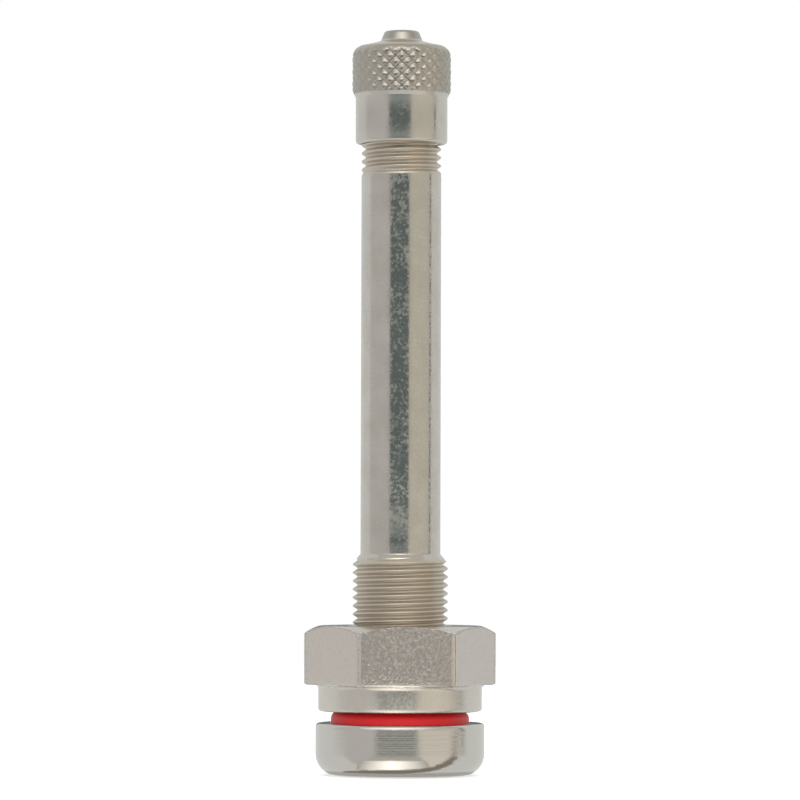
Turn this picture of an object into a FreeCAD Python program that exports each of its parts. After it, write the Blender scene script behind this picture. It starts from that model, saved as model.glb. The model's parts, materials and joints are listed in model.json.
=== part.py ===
import FreeCAD, Part
import Sketcher
import math
import os
import re

# A clamp-in tyre valve, standing on its flat foot.
# Millimetres. The origin is the middle of the foot's underside, and +Z runs up the stem to the cap.
# A right-hand thread holds the nut on the stem, another the cap, and a third the core in the stem's mouth.

# Driving sizes: name, value, meaning
SIZES = [
    # Foot and seal groove of the stem
    ("foot_diameter", 16.2, "widest part of the foot"),
    ("foot_height", 5.05, "foot's upper face over its underside"),
    ("foot_round", 2.1, "radius of the foot's lower edge"),
    ("foot_rim_chamfer", 0.35, "chamfer of the foot's upper edge"),
    ("groove_depth", 0.85, "seal groove in the foot's upper face"),
    ("groove_gap", 0.12, "room between the seal ring and the groove's outer wall"),
    ("neck_gap", 0.07, "room between the seal ring and the neck"),
    ("neck_height", 2.4, "plain neck over the groove's floor, below the nut's thread"),
    # Seal ring, pressed between foot and nut
    ("ring_diameter", 13.25, "outside of the seal ring"),
    ("ring_width", 2.15, "width of its section"),
    ("ring_height", 1.96, "height of its section as pressed"),
    ("ring_flat", 0.9, "flat that the pressing leaves above and below"),
    ("ring_side", 0.8, "upright side of its section"),
    # Outside of the stem, upwards
    ("nut_thread_diameter", 9.12, "crest of the nut's thread"),
    ("nut_thread_top", 20.3, "end of that thread over the foot's underside"),
    ("nut_thread_lead", 0.2, "chamfer at the thread's end"),
    ("shoulder_height", 0.9, "cone from the nut's thread to the shank"),
    ("shank_diameter", 7.65, "plain shank"),
    ("cap_thread_diameter", 7.62, "crest of the cap's thread"),
    ("cap_thread_length", 10.8, "cap's thread, down from the mouth"),
    ("cap_thread_lead", 0.1, "height of the step from the shank to that thread"),
    ("stem_height", 68.4, "mouth of the stem over the foot's underside"),
    ("mouth_chamfer", 0.45, "chamfer outside the mouth"),
    # Inside of the stem, measured down from the mouth
    ("core_thread_diameter", 5.33, "wall that the core's thread runs in"),
    ("core_thread_depth", 9.1, "depth of that wall"),
    ("seat_mouth_diameter", 4.7, "wide end of the core's cone seat"),
    ("seat_length", 1.7, "length of the cone seat"),
    ("chamber_diameter", 3.7, "chamber below the seat"),
    ("chamber_depth", 22.0, "floor of the chamber below the mouth"),
    ("air_bore_diameter", 3.2, "air way from the chamber to the foot"),
    ("air_bore_chamfer", 0.4, "chamfers at the bore's two ends"),
    # Nut with its turned collar
    ("flats_inside_foot", 0.2, "width across the flats under the foot's diameter"),
    ("nut_turn", 4.9, "degrees that the hexagon stands turned"),
    ("hex_height", 5.65, "height of the hexagon"),
    ("crown_inside_flats", 0.6, "flat circle on top of the hexagon, under the width across flats"),
    ("hex_crown_angle", 26.0, "slope of the chamfer round it, in degrees"),
    ("hex_corner_chamfer", 0.25, "chamfer under the hexagon's corners"),
    ("collar_inside_flats", 0.3, "turned collar's diameter under the width across flats"),
    ("collar_height", 2.54, "height of the collar"),
    ("collar_chamfer", 0.25, "chamfer of the collar's lower edge"),
    ("collar_undercut", 0.3, "hollow cone where the collar meets the hexagon"),
    ("nut_fit", 0.05, "room between nut and stem thread"),
    ("nut_lead", 0.5, "chamfers at the ends of the nut's bore"),
    # Cap
    ("cap_depth", 8.8, "inside of the cap, roof to rim"),
    ("cap_roof", 1.1, "thickness of the roof"),
    ("cap_fit", 0.06, "room between the cap and its thread"),
    ("cap_lead", 0.15, "chamfer inside the rim"),
    ("cap_wall", 0.53, "wall of the skirt"),
    ("skirt_length", 4.45, "skirt up to the knurled head's chamfer"),
    ("skirt_chamfer", 0.25, "chamfer of the rim's outer edge"),
    ("head_step", 0.34, "crests of the knurled head over the skirt"),
    ("head_chamfer", 0.65, "height of the chamfer below the head"),
    ("crown_round", 1.0, "radius of the head's upper edge"),
    ("crown_drop", 0.4, "fall of the crown from the boss to that radius"),
    ("boss_foot_diameter", 4.0, "small boss on the crown, at its foot"),
    ("boss_top_diameter", 3.3, "and at its top"),
    ("boss_height", 1.0, "height of the boss"),
    ("boss_chamfer", 0.2, "chamfer of its upper edge"),
    ("knurl_count", 24, "diamonds round the head"),
    ("knurl_pitch", 1.154, "height of one diamond"),
    ("knurl_depth", 0.22, "depth of the valleys between the diamonds"),
    # Cap gasket
    ("gasket_thickness", 1.0, "flat gasket between roof and mouth"),
    ("gasket_hole", 3.4, "hole in the gasket"),
    ("gasket_gap", 0.06, "room round the gasket in the cap"),
    # Core: swivel plug
    ("plug_fit", 0.04, "room between the plug and the wall of its thread"),
    ("plug_depth", 2.4, "top of the plug's bridge below the mouth"),
    ("plug_thread_length", 3.6, "threaded part of the plug"),
    ("bridge_height", 2.2, "bridge over the threaded part"),
    ("bridge_diameter", 4.6, "bridge across its long way"),
    ("bridge_width", 2.0, "bridge across its narrow way"),
    ("bridge_roof", 1.0, "thickness over the arch"),
    ("plug_bore", 3.2, "air way through the plug"),
    ("lip_height", 0.3, "lip that holds the barrel's head"),
    ("lip_gap", 0.1, "room between lip and barrel neck"),
    ("swivel_gap", 0.05, "play of the barrel's head in the plug"),
    # Core: barrel and its gasket
    ("head_room_diameter", 4.2, "recess in the plug for the barrel's head"),
    ("barrel_head_height", 1.0, "swivel head of the barrel"),
    ("barrel_neck_diameter", 3.3, "neck through the plug's lip"),
    ("barrel_neck_height", 0.6, "height of that neck"),
    ("barrel_shoulder_diameter", 4.0, "shoulder over the gasket"),
    ("barrel_shoulder_height", 0.5, "height of the shoulder"),
    ("barrel_gasket_height", 1.3, "height of the barrel's gasket"),
    ("barrel_groove_diameter", 2.8, "groove that the gasket sits in"),
    ("barrel_flange_diameter", 3.4, "flange under the gasket"),
    ("barrel_flange_height", 0.4, "height of that flange"),
    ("barrel_tube_diameter", 3.0, "tube below the flange"),
    ("barrel_tube_length", 6.0, "length of the tube"),
    ("barrel_rim_diameter", 2.6, "outside of the rim that the cup closes"),
    ("barrel_rim_bore", 2.0, "inside of that rim"),
    ("barrel_bore", 2.3, "bore that holds the spring"),
    ("barrel_floor", 0.4, "floor that the spring stands on"),
    ("barrel_floor_hole", 1.5, "hole in the floor"),
    ("barrel_rim_height", 0.7, "floor's underside over the rim"),
    ("seal_fit", 0.02, "room between the barrel's gasket and the metal round it"),
    # Core: pin, spring, cup and its seal
    ("pin_sunk", 0.2, "top of the pin below the mouth"),
    ("pin_diameter", 1.0, "pin"),
    ("pin_head_diameter", 1.7, "head that a pump presses"),
    ("pin_head_height", 0.6, "height of the head"),
    ("pin_head_chamfer", 0.2, "chamfer of its upper edge"),
    ("pin_guide", 0.08, "room round the pin in the bridge"),
    ("pin_collar_diameter", 2.0, "collar over the spring"),
    ("pin_collar_height", 0.5, "height of the collar"),
    ("pin_rivet_diameter", 1.6, "riveted end under the cup"),
    ("pin_rivet_height", 0.4, "height of the rivet"),
    ("spring_length", 6.0, "spring as fitted"),
    ("spring_wire", 0.3, "wire of the spring"),
    ("spring_diameter", 1.96, "outside of the spring"),
    ("spring_turns", 6, "turns of the spring"),
    ("spring_fit", 0.02, "room at the spring's two ends"),
    ("cup_seal_diameter", 2.8, "seal that closes the barrel's rim"),
    ("cup_seal_height", 0.8, "thickness of that seal"),
    ("cup_wall", 0.2, "wall of the cup round the seal"),
    ("cup_wall_height", 0.45, "height of the wall over the cup's floor"),
    ("cup_floor", 0.5, "floor of the cup"),
    ("cup_hub_diameter", 1.9, "hub under the cup"),
    ("cup_hub_height", 0.8, "height of the hub"),
    ("pin_grip", 0.01, "room between the pin and what is pressed on it"),
]

# Heights over the foot's underside, each worked out from the sizes above
GROOVE_FLOOR = "(foot_height - groove_depth)"
NUT_BASE = f"({GROOVE_FLOOR} + ring_height)"
HEX_BASE = f"({NUT_BASE} + collar_height)"
NUT_TOP = f"({HEX_BASE} + hex_height)"
SHOULDER_TOP = "(nut_thread_top + shoulder_height)"
CAP_THREAD_START = "(stem_height - cap_thread_length)"
SEAT_TOP = "(stem_height - core_thread_depth)"
SEAT_FOOT = f"({SEAT_TOP} - seat_length)"
CHAMBER_FLOOR = "(stem_height - chamber_depth)"
CAP_CEILING = "(stem_height + gasket_thickness)"
CAP_RIM = f"({CAP_CEILING} - cap_depth)"
CAP_CROWN = f"({CAP_CEILING} + cap_roof)"
HEAD_FOOT = f"({CAP_RIM} + skirt_length)"
CROWN_EDGE = f"({CAP_CROWN} - crown_drop)"
BRIDGE_TOP = "(stem_height - plug_depth)"
PLUG_TOP = f"({BRIDGE_TOP} - bridge_height)"
PLUG_FOOT = f"({PLUG_TOP} - plug_thread_length)"
BARREL_HEAD_FOOT = f"({PLUG_FOOT} + lip_height + swivel_gap)"
BARREL_TOP = f"({BARREL_HEAD_FOOT} + barrel_head_height)"
BARREL_SHOULDER_TOP = f"({BARREL_HEAD_FOOT} - barrel_neck_height)"
BARREL_SHOULDER_FOOT = f"({BARREL_SHOULDER_TOP} - barrel_shoulder_height)"
BARREL_FLANGE_TOP = f"({BARREL_SHOULDER_FOOT} - barrel_gasket_height)"
BARREL_FLANGE_FOOT = f"({BARREL_FLANGE_TOP} - barrel_flange_height)"
BARREL_RIM = f"({BARREL_FLANGE_FOOT} - barrel_tube_length)"
BARREL_FLOOR_UNDER = f"({BARREL_RIM} + barrel_rim_height)"
SPRING_FOOT = f"({BARREL_FLOOR_UNDER} + barrel_floor)"
SPRING_TOP = f"({SPRING_FOOT} + spring_length)"
CUP_FLOOR_TOP = f"({BARREL_RIM} - cup_seal_height)"
CUP_FLOOR_UNDER = f"({CUP_FLOOR_TOP} - cup_floor)"
CUP_FOOT = f"({CUP_FLOOR_UNDER} - cup_hub_height)"
PIN_TOP = "(stem_height - pin_sunk)"

# Radii that two pieces share
NECK_RADIUS = "(ring_diameter / 2 - ring_width - neck_gap)"
NUT_FLATS = "(foot_diameter - flats_inside_foot)"
NUT_BORE_RADIUS = "(nut_thread_diameter / 2 + nut_fit)"
CAP_BORE_RADIUS = "(cap_thread_diameter / 2 + cap_fit)"
SKIRT_RADIUS = f"({CAP_BORE_RADIUS} + cap_wall)"
HEAD_RADIUS = f"({SKIRT_RADIUS} + head_step)"
CUP_RADIUS = "(cup_seal_diameter / 2 + pin_grip + cup_wall)"

# A sketch's own numbers for the two ends of a line
LINE_START = 1
LINE_END = 2

# A round edge is drawn with this many straight sides, each a narrow cone once turned
ROUND_SIDES = 4

# The spring's fine wire is drawn with this many sides
WIRE_SIDES = 4

NAMES = {name for name, number, meaning in SIZES}


def sheet_of_sizes(doc):
    """The spreadsheet: one row for each driving size, its value in column B under the size's own name."""
    sheet = doc.addObject("Spreadsheet::Sheet", "sizes")
    for row, (name, number, meaning) in enumerate(SIZES, start=1):
        sheet.set(f"A{row}", name)
        sheet.set(f"B{row}", str(number))
        sheet.setAlias(f"B{row}", name)
        sheet.set(f"C{row}", meaning)
    doc.recompute()
    return sheet


def bound(expression):
    """An expression of size names, as another object of the document writes it."""
    return re.sub(r"[a-z_]+", lambda m: "sizes." + m[0] if m[0] in NAMES else m[0], expression)


def value(doc, expression):
    """What an expression of size names comes to now, as a plain number."""
    result = doc.sizes.evalExpression(expression)
    return float(getattr(result, "Value", result))


def bind(item, **properties):
    """Bind properties of a primitive, such as its Radius, to expressions of size names."""
    for name, expression in properties.items():
        item.setExpression(name, bound(expression))


def place(item, height, turn="0"):
    """Lift a primitive to a height on the axis, turned by so many degrees about it."""
    up = FreeCAD.Vector(0, 0, 1)
    item.Placement = FreeCAD.Placement(FreeCAD.Vector(), FreeCAD.Rotation(up, value(item.Document, turn)))
    item.setExpression(".Placement.Base.z", bound(height))


def origin_plane(body, role):
    """The body's own XY, XZ or YZ plane."""
    return next(f for f in body.Origin.OriginFeatures if f.Role == role)


def draw_profile(doc, sketch, corners):
    """A closed outline of straight sides, every corner of it, (radius, height), bound to the sizes."""
    points = [FreeCAD.Vector(value(doc, c[0]), value(doc, c[1]), 0) for c in corners]
    for i, point in enumerate(points):
        sketch.addGeometry(Part.LineSegment(points[i - 1], point))
    for i, (radius, height) in enumerate(corners):
        following = (i + 1) % len(corners)
        sketch.addConstraint(Sketcher.Constraint("Coincident", i, LINE_END, following, LINE_START))
        tie_corner(sketch, i, LINE_END, "DistanceX", points[i].x, radius)
        tie_corner(sketch, i, LINE_END, "DistanceY", points[i].y, height)


def tie_corner(sketch, index, end, kind, number, expression):
    """Hold a corner at its distance from the sketch's own axes."""
    if expression == "0":
        axis = -2 if kind == "DistanceX" else -1
        sketch.addConstraint(Sketcher.Constraint("PointOnObject", index, end, axis))
        return
    constraint = sketch.addConstraint(Sketcher.Constraint(kind, -1, 1, index, end, number))
    sketch.setExpression(f"Constraints[{constraint}]", bound(expression))


def sketch_on(body, name, role):
    """A sketch on one of the body's own origin planes."""
    sketch = body.newObject("Sketcher::SketchObject", name)
    sketch.AttachmentSupport = (origin_plane(body, role), "")
    sketch.MapMode = "FlatFace"
    return sketch


def turned_body(doc, label, corners):
    """A turned piece: its half section on the XZ plane, revolved about Z."""
    body = doc.addObject("PartDesign::Body", label)
    body.Label = label
    sketch = sketch_on(body, label + "_section", "XZ_Plane")
    draw_profile(doc, sketch, corners)
    turning = body.newObject("PartDesign::Revolution", label + "_turning")
    turning.Profile = sketch
    turning.ReferenceAxis = (sketch, ["V_Axis"])
    turning.Angle = 360
    sketch.Visibility = False
    return body


def round_turns():
    """The angles, in degrees, at which the corners of a round edge lie."""
    return [90 * side / ROUND_SIDES for side in range(1, ROUND_SIDES)]


def lower_round(edge, size):
    """Corners between the underside and an outer wall, at radius edge, that a radius of that size joins."""
    return [(f"{edge} - {size} * (1 - sin({a}))", f"{size} * (1 - cos({a}))") for a in round_turns()]


def upper_round(edge, top, size):
    """Corners between an outer wall, at radius edge, and a top that a radius of that size joins."""
    return [(f"{edge} - {size} * (1 - cos({a}))", f"{top} - {size} * (1 - sin({a}))") for a in round_turns()]


def valve_stem(doc):
    """The stem, turned in one piece: foot, groove, two threads, and the bore with the core's chamber."""
    foot = "(foot_diameter / 2)"
    groove = "(ring_diameter / 2 + groove_gap)"
    thread = "(nut_thread_diameter / 2)"
    shank = "(shank_diameter / 2)"
    cap_thread = "(cap_thread_diameter / 2)"
    bore = "(air_bore_diameter / 2)"
    chamber = "(chamber_diameter / 2)"
    core_thread = "(core_thread_diameter / 2)"
    return turned_body(doc, "valve_stem", [
        (f"{bore} + air_bore_chamfer", "0"),
        (f"{foot} - foot_round", "0"),
        *lower_round(foot, "foot_round"),
        (foot, "foot_round"),
        (foot, "foot_height - foot_rim_chamfer"),
        (f"{foot} - foot_rim_chamfer", "foot_height"),
        (groove, "foot_height"),
        (groove, GROOVE_FLOOR),
        (NECK_RADIUS, GROOVE_FLOOR),
        (NECK_RADIUS, f"{GROOVE_FLOOR} + neck_height"),
        (thread, f"{GROOVE_FLOOR} + neck_height + {thread} - {NECK_RADIUS}"),
        (thread, "nut_thread_top - nut_thread_lead"),
        (f"{thread} - nut_thread_lead", "nut_thread_top"),
        (shank, SHOULDER_TOP),
        (shank, CAP_THREAD_START),
        (cap_thread, f"{CAP_THREAD_START} + cap_thread_lead"),
        (cap_thread, "stem_height - mouth_chamfer"),
        (f"{cap_thread} - mouth_chamfer", "stem_height"),
        (core_thread, "stem_height"),
        (core_thread, SEAT_TOP),
        ("seat_mouth_diameter / 2", SEAT_TOP),
        (chamber, SEAT_FOOT),
        (chamber, CHAMBER_FLOOR),
        (f"{bore}", f"{CHAMBER_FLOOR} - {chamber} + {bore}"),
        (bore, "air_bore_chamfer"),
    ])


def rim_seal_ring(doc):
    """The red ring: a soft round section pressed flat above and below, with eight sides for its curve."""
    outer = "(ring_diameter / 2)"
    inner = "(ring_diameter / 2 - ring_width)"
    corner = "((ring_width - ring_flat) / 2)"
    rise = "((ring_height - ring_side) / 2)"
    return turned_body(doc, "rim_seal_ring", [
        (f"{inner} + {corner}", GROOVE_FLOOR),
        (f"{outer} - {corner}", GROOVE_FLOOR),
        (outer, f"{GROOVE_FLOOR} + {rise}"),
        (outer, f"{NUT_BASE} - {rise}"),
        (f"{outer} - {corner}", NUT_BASE),
        (f"{inner} + {corner}", NUT_BASE),
        (inner, f"{NUT_BASE} - {rise}"),
        (inner, f"{GROOVE_FLOOR} + {rise}"),
    ])


def clamp_nut(doc):
    """The nut, turned from hexagon bar: a lathe-turned blank, common with the bar."""
    bar_radius = f"({NUT_FLATS} / 2 / cos(30))"
    crown = f"(({NUT_FLATS} - crown_inside_flats) / 2)"
    collar = f"(({NUT_FLATS} - collar_inside_flats) / 2)"
    blank_radius = f"({bar_radius} + hex_corner_chamfer)"
    blank = turned_body(doc, "nut_blank", [
        (f"{NUT_BORE_RADIUS} + nut_lead", NUT_BASE),
        (f"{collar} - collar_chamfer", NUT_BASE),
        (collar, f"{NUT_BASE} + collar_chamfer"),
        (collar, f"{HEX_BASE} - collar_undercut"),
        (f"{collar} + collar_undercut", HEX_BASE),
        (f"{bar_radius} - hex_corner_chamfer", HEX_BASE),
        (blank_radius, f"{HEX_BASE} + 2 * hex_corner_chamfer"),
        (blank_radius, f"{NUT_TOP} - ({blank_radius} - {crown}) * tan(hex_crown_angle)"),
        (crown, NUT_TOP),
        (f"{NUT_BORE_RADIUS} + nut_lead", NUT_TOP),
        (NUT_BORE_RADIUS, f"{NUT_TOP} - nut_lead"),
        (NUT_BORE_RADIUS, f"{NUT_BASE} + nut_lead"),
    ])
    bar = doc.addObject("Part::Prism", "hexagon_bar")
    bar.Polygon = 6
    bind(bar, Circumradius=bar_radius, Height=f"{NUT_TOP} - {NUT_BASE}")
    place(bar, NUT_BASE, "nut_turn")
    nut = doc.addObject("Part::Common", "clamp_nut")
    nut.Base = blank
    nut.Tool = bar
    return nut


def knurl_blank(doc):
    """The head's blank: a closed shell of small pyramids on a diamond lattice, taller than the head."""
    count = int(value(doc, "knurl_count"))
    pitch = value(doc, "knurl_pitch")
    crest = value(doc, HEAD_RADIUS)
    valley = crest - value(doc, "knurl_depth")
    foot = value(doc, HEAD_FOOT) - pitch
    rows = 2 * math.ceil((value(doc, CAP_CROWN) + pitch - foot) / pitch)
    step = math.pi / count

    def node(radius, column, row):
        angle = step * column
        return FreeCAD.Vector(radius * math.cos(angle), radius * math.sin(angle), foot + row * pitch / 2)

    faces = []
    for row in range(1, rows):
        for column in range(row % 2, 2 * count, 2):
            corners = [
                node(valley, column - 1, row),
                node(valley, column, row - 1),
                node(valley, column + 1, row),
                node(valley, column, row + 1),
            ]
            faces += pyramid(node(crest, column, row), corners)
    faces += end_cap(node, valley, count, 0)
    faces += end_cap(node, valley, count, rows)
    blank = doc.addObject("Part::Feature", "knurl_blank")
    blank.Shape = Part.makeSolid(Part.makeShell(faces))
    return blank


def flat_face(points):
    """A plane face through the points."""
    return Part.Face(Part.makePolygon(points + points[:1]))


def pyramid(tip, corners):
    """The four slopes of one diamond."""
    return [flat_face([tip, corners[i - 1], corners[i]]) for i in range(4)]


def end_cap(node, valley, count, row):
    """A fan that closes the blank's lower end (row 0) or its upper end."""
    inward = 1 if row == 0 else -1
    centre = FreeCAD.Vector(0, 0, node(valley, 0, row).z)
    rim = []
    for column in range(2 * count):
        on_end = (column + row) % 2 == 1
        rim.append(node(valley, column, row if on_end else row + inward))
    if row == 0:
        rim.reverse()
    return [flat_face([centre, rim[i - 1], rim[i]]) for i in range(2 * count)]


def knurl_waste(doc):
    """What the knurling takes off the head: a ring from the valleys outwards."""
    ring = doc.addObject("Part::Cylinder", "knurl_ring")
    bind(ring, Radius=f"{HEAD_RADIUS} + knurl_depth", Height=f"{CAP_CROWN} - {HEAD_FOOT}")
    place(ring, HEAD_FOOT)
    waste = doc.addObject("Part::Cut", "knurl_waste")
    waste.Base = ring
    waste.Tool = knurl_blank(doc)
    return waste


def valve_cap(doc):
    """The cap: skirt, knurled head, crown with its small boss, and the blind bore for thread and gasket."""
    boss_top = "(boss_top_diameter / 2)"
    boss_end = f"({CAP_CROWN} + boss_height)"
    turned = turned_body(doc, "cap_blank", [
        (f"{CAP_BORE_RADIUS} + cap_lead", CAP_RIM),
        (f"{SKIRT_RADIUS} - skirt_chamfer", CAP_RIM),
        (SKIRT_RADIUS, f"{CAP_RIM} + skirt_chamfer"),
        (SKIRT_RADIUS, HEAD_FOOT),
        (HEAD_RADIUS, f"{HEAD_FOOT} + head_chamfer"),
        (HEAD_RADIUS, f"{CROWN_EDGE} - crown_round"),
        *upper_round(HEAD_RADIUS, CROWN_EDGE, "crown_round"),
        (f"{HEAD_RADIUS} - crown_round", CROWN_EDGE),
        ("boss_foot_diameter / 2", CAP_CROWN),
        (boss_top, f"{boss_end} - boss_chamfer"),
        (f"{boss_top} - boss_chamfer", boss_end),
        ("0", boss_end),
        ("0", CAP_CEILING),
        (CAP_BORE_RADIUS, CAP_CEILING),
        (CAP_BORE_RADIUS, f"{CAP_RIM} + cap_lead"),
    ])
    cap = doc.addObject("Part::Cut", "valve_cap")
    cap.Base = turned
    cap.Tool = knurl_waste(doc)
    return cap


def cap_gasket(doc):
    """The flat gasket that the cap presses on the stem's mouth."""
    return turned_body(doc, "cap_gasket", [
        ("gasket_hole / 2", "stem_height"),
        (f"{CAP_BORE_RADIUS} - gasket_gap", "stem_height"),
        (f"{CAP_BORE_RADIUS} - gasket_gap", CAP_CEILING),
        ("gasket_hole / 2", CAP_CEILING),
    ])


def core_plug(doc):
    """The core's swivel plug: a threaded ring with an arched bridge over the air way."""
    outer = "(core_thread_diameter / 2 - plug_fit)"
    plug = turned_body(doc, "core_plug", [
        ("barrel_neck_diameter / 2 + lip_gap", PLUG_FOOT),
        (outer, PLUG_FOOT),
        (outer, PLUG_TOP),
        ("bridge_diameter / 2", PLUG_TOP),
        ("bridge_diameter / 2", BRIDGE_TOP),
        ("pin_diameter / 2 + pin_guide", BRIDGE_TOP),
        ("pin_diameter / 2 + pin_guide", f"{BRIDGE_TOP} - bridge_roof"),
        ("plug_bore / 2", f"{BRIDGE_TOP} - bridge_roof"),
        ("plug_bore / 2", f"{BARREL_TOP} + swivel_gap"),
        ("head_room_diameter / 2", f"{BARREL_TOP} + swivel_gap"),
        ("head_room_diameter / 2", f"{PLUG_FOOT} + lip_height"),
        ("barrel_neck_diameter / 2 + lip_gap", f"{PLUG_FOOT} + lip_height"),
    ])
    for side in (1, -1):
        mill_bridge_side(doc, plug, side)
    return plug


def mill_bridge_side(doc, plug, side):
    """Mill one side of the bridge down to the threaded ring."""
    sketch = sketch_on(plug, "bridge_side_a" if side > 0 else "bridge_side_b", "XZ_Plane")
    half = "(bridge_diameter / 2 + bridge_width)"
    draw_profile(doc, sketch, [
        (f"-{half}", PLUG_TOP),
        (half, PLUG_TOP),
        (half, f"{BRIDGE_TOP} + bridge_width"),
        (f"-{half}", f"{BRIDGE_TOP} + bridge_width"),
    ])
    sketch.setExpression(".AttachmentOffset.Base.z", bound(f"{side} * bridge_width / 2"))
    milling = plug.newObject("PartDesign::Pocket", sketch.Name + "_milling")
    milling.Profile = sketch
    milling.setExpression("Length", bound("bridge_diameter"))
    milling.Reversed = side > 0
    sketch.Visibility = False


def core_barrel(doc):
    """The core's barrel: swivel head, gasket groove, spring bore and the rim that the cup closes."""
    neck = "(barrel_neck_diameter / 2)"
    head = "(head_room_diameter / 2 - swivel_gap)"
    tube = "(barrel_tube_diameter / 2)"
    return turned_body(doc, "core_barrel", [
        ("barrel_rim_bore / 2", BARREL_RIM),
        ("barrel_rim_diameter / 2", BARREL_RIM),
        (tube, BARREL_FLOOR_UNDER),
        (tube, BARREL_FLANGE_FOOT),
        ("barrel_flange_diameter / 2", BARREL_FLANGE_FOOT),
        ("barrel_flange_diameter / 2", BARREL_FLANGE_TOP),
        ("barrel_groove_diameter / 2", BARREL_FLANGE_TOP),
        ("barrel_groove_diameter / 2", BARREL_SHOULDER_FOOT),
        ("barrel_shoulder_diameter / 2", BARREL_SHOULDER_FOOT),
        ("barrel_shoulder_diameter / 2", BARREL_SHOULDER_TOP),
        (neck, BARREL_SHOULDER_TOP),
        (neck, BARREL_HEAD_FOOT),
        (head, BARREL_HEAD_FOOT),
        (head, BARREL_TOP),
        ("barrel_bore / 2", BARREL_TOP),
        ("barrel_bore / 2", SPRING_FOOT),
        ("barrel_floor_hole / 2", SPRING_FOOT),
        ("barrel_floor_hole / 2", BARREL_FLOOR_UNDER),
        ("barrel_rim_bore / 2", BARREL_FLOOR_UNDER),
    ])


def seat_radius(height):
    """The radius of the stem's cone seat at a height."""
    slope = "((seat_mouth_diameter - chamber_diameter) / 2 / seat_length)"
    return f"(chamber_diameter / 2 + ({height} - {SEAT_FOOT}) * {slope})"


def barrel_gasket(doc):
    """The gasket in the barrel's groove, coned like the seat that it closes on."""
    foot = f"({BARREL_FLANGE_TOP} + seal_fit)"
    top = f"({BARREL_SHOULDER_FOOT} - seal_fit)"
    inner = "(barrel_groove_diameter / 2 + seal_fit)"
    return turned_body(doc, "barrel_gasket", [
        (inner, foot),
        (f"{seat_radius(foot)} - seal_fit", foot),
        (f"{seat_radius(top)} - seal_fit", top),
        (inner, top),
    ])


def core_pin(doc):
    """The pin, from the head that a pump presses to the rivet under the cup, with the spring's collar."""
    pin = "(pin_diameter / 2)"
    head = "(pin_head_diameter / 2)"
    collar = "(pin_collar_diameter / 2)"
    return turned_body(doc, "core_pin", [
        ("0", f"{CUP_FOOT} - pin_rivet_height"),
        ("pin_rivet_diameter / 2", f"{CUP_FOOT} - pin_rivet_height"),
        ("pin_rivet_diameter / 2", CUP_FOOT),
        (pin, CUP_FOOT),
        (pin, SPRING_TOP),
        (collar, SPRING_TOP),
        (collar, f"{SPRING_TOP} + pin_collar_height"),
        (pin, f"{SPRING_TOP} + pin_collar_height"),
        (pin, f"{PIN_TOP} - pin_head_height"),
        (head, f"{PIN_TOP} - pin_head_height"),
        (head, f"{PIN_TOP} - pin_head_chamfer"),
        (f"{head} - pin_head_chamfer", PIN_TOP),
        ("0", PIN_TOP),
    ])


def core_spring(doc):
    """The coil between the barrel's floor and the pin's collar."""
    middle = "(spring_diameter / 2 - spring_wire / 2)"
    height = "(spring_length - spring_wire - 2 * spring_fit)"
    start = f"({SPRING_FOOT} + spring_wire / 2 + spring_fit)"
    path = doc.addObject("Part::Helix", "spring_path")
    bind(path, Radius=middle, Height=height, Pitch=f"{height} / spring_turns")
    place(path, start)
    section = doc.addObject("Part::RegularPolygon", "spring_section")
    section.Polygon = WIRE_SIDES
    bind(section, Circumradius="spring_wire / 2")
    across = FreeCAD.Rotation(FreeCAD.Vector(1, 0, 0), 90)
    section.Placement = FreeCAD.Placement(FreeCAD.Vector(), across)
    section.setExpression(".Placement.Base.x", bound(middle))
    section.setExpression(".Placement.Base.z", bound(start))
    spring = doc.addObject("Part::Sweep", "core_spring")
    spring.Sections = [section]
    spring.Spine = (path, [])
    spring.Solid = True
    spring.Frenet = True
    return spring


def valve_cup(doc):
    """The cup on the pin, which holds the seal against the barrel's rim."""
    bore = "(pin_diameter / 2 + pin_grip)"
    return turned_body(doc, "valve_cup", [
        (bore, CUP_FOOT),
        ("cup_hub_diameter / 2", CUP_FOOT),
        ("cup_hub_diameter / 2", CUP_FLOOR_UNDER),
        (CUP_RADIUS, CUP_FLOOR_UNDER),
        (CUP_RADIUS, f"{CUP_FLOOR_TOP} + cup_wall_height"),
        (f"{CUP_RADIUS} - cup_wall", f"{CUP_FLOOR_TOP} + cup_wall_height"),
        (f"{CUP_RADIUS} - cup_wall", CUP_FLOOR_TOP),
        (bore, CUP_FLOOR_TOP),
    ])


def cup_seal(doc):
    """The rubber disc in the cup."""
    return turned_body(doc, "cup_seal", [
        ("pin_diameter / 2 + pin_grip", CUP_FLOOR_TOP),
        ("cup_seal_diameter / 2", CUP_FLOOR_TOP),
        ("cup_seal_diameter / 2", BARREL_RIM),
        ("pin_diameter / 2 + pin_grip", BARREL_RIM),
    ])


PIECES = [
    valve_stem,
    rim_seal_ring,
    clamp_nut,
    valve_cap,
    cap_gasket,
    core_plug,
    core_barrel,
    barrel_gasket,
    core_pin,
    core_spring,
    valve_cup,
    cup_seal,
]


def check(doc, pieces):
    """Stop if anything in the document failed, or if a piece is empty or not a sound solid."""
    for item in doc.Objects:
        if "Invalid" in item.State or "Error" in item.State:
            raise RuntimeError(f"{item.Name} did not compute: {item.State}")
    for piece in pieces:
        shape = piece.Shape
        if shape.isNull() or not shape.isValid() or len(shape.Solids) != 1:
            raise RuntimeError(f"{piece.Label} is not one sound solid")


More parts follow.
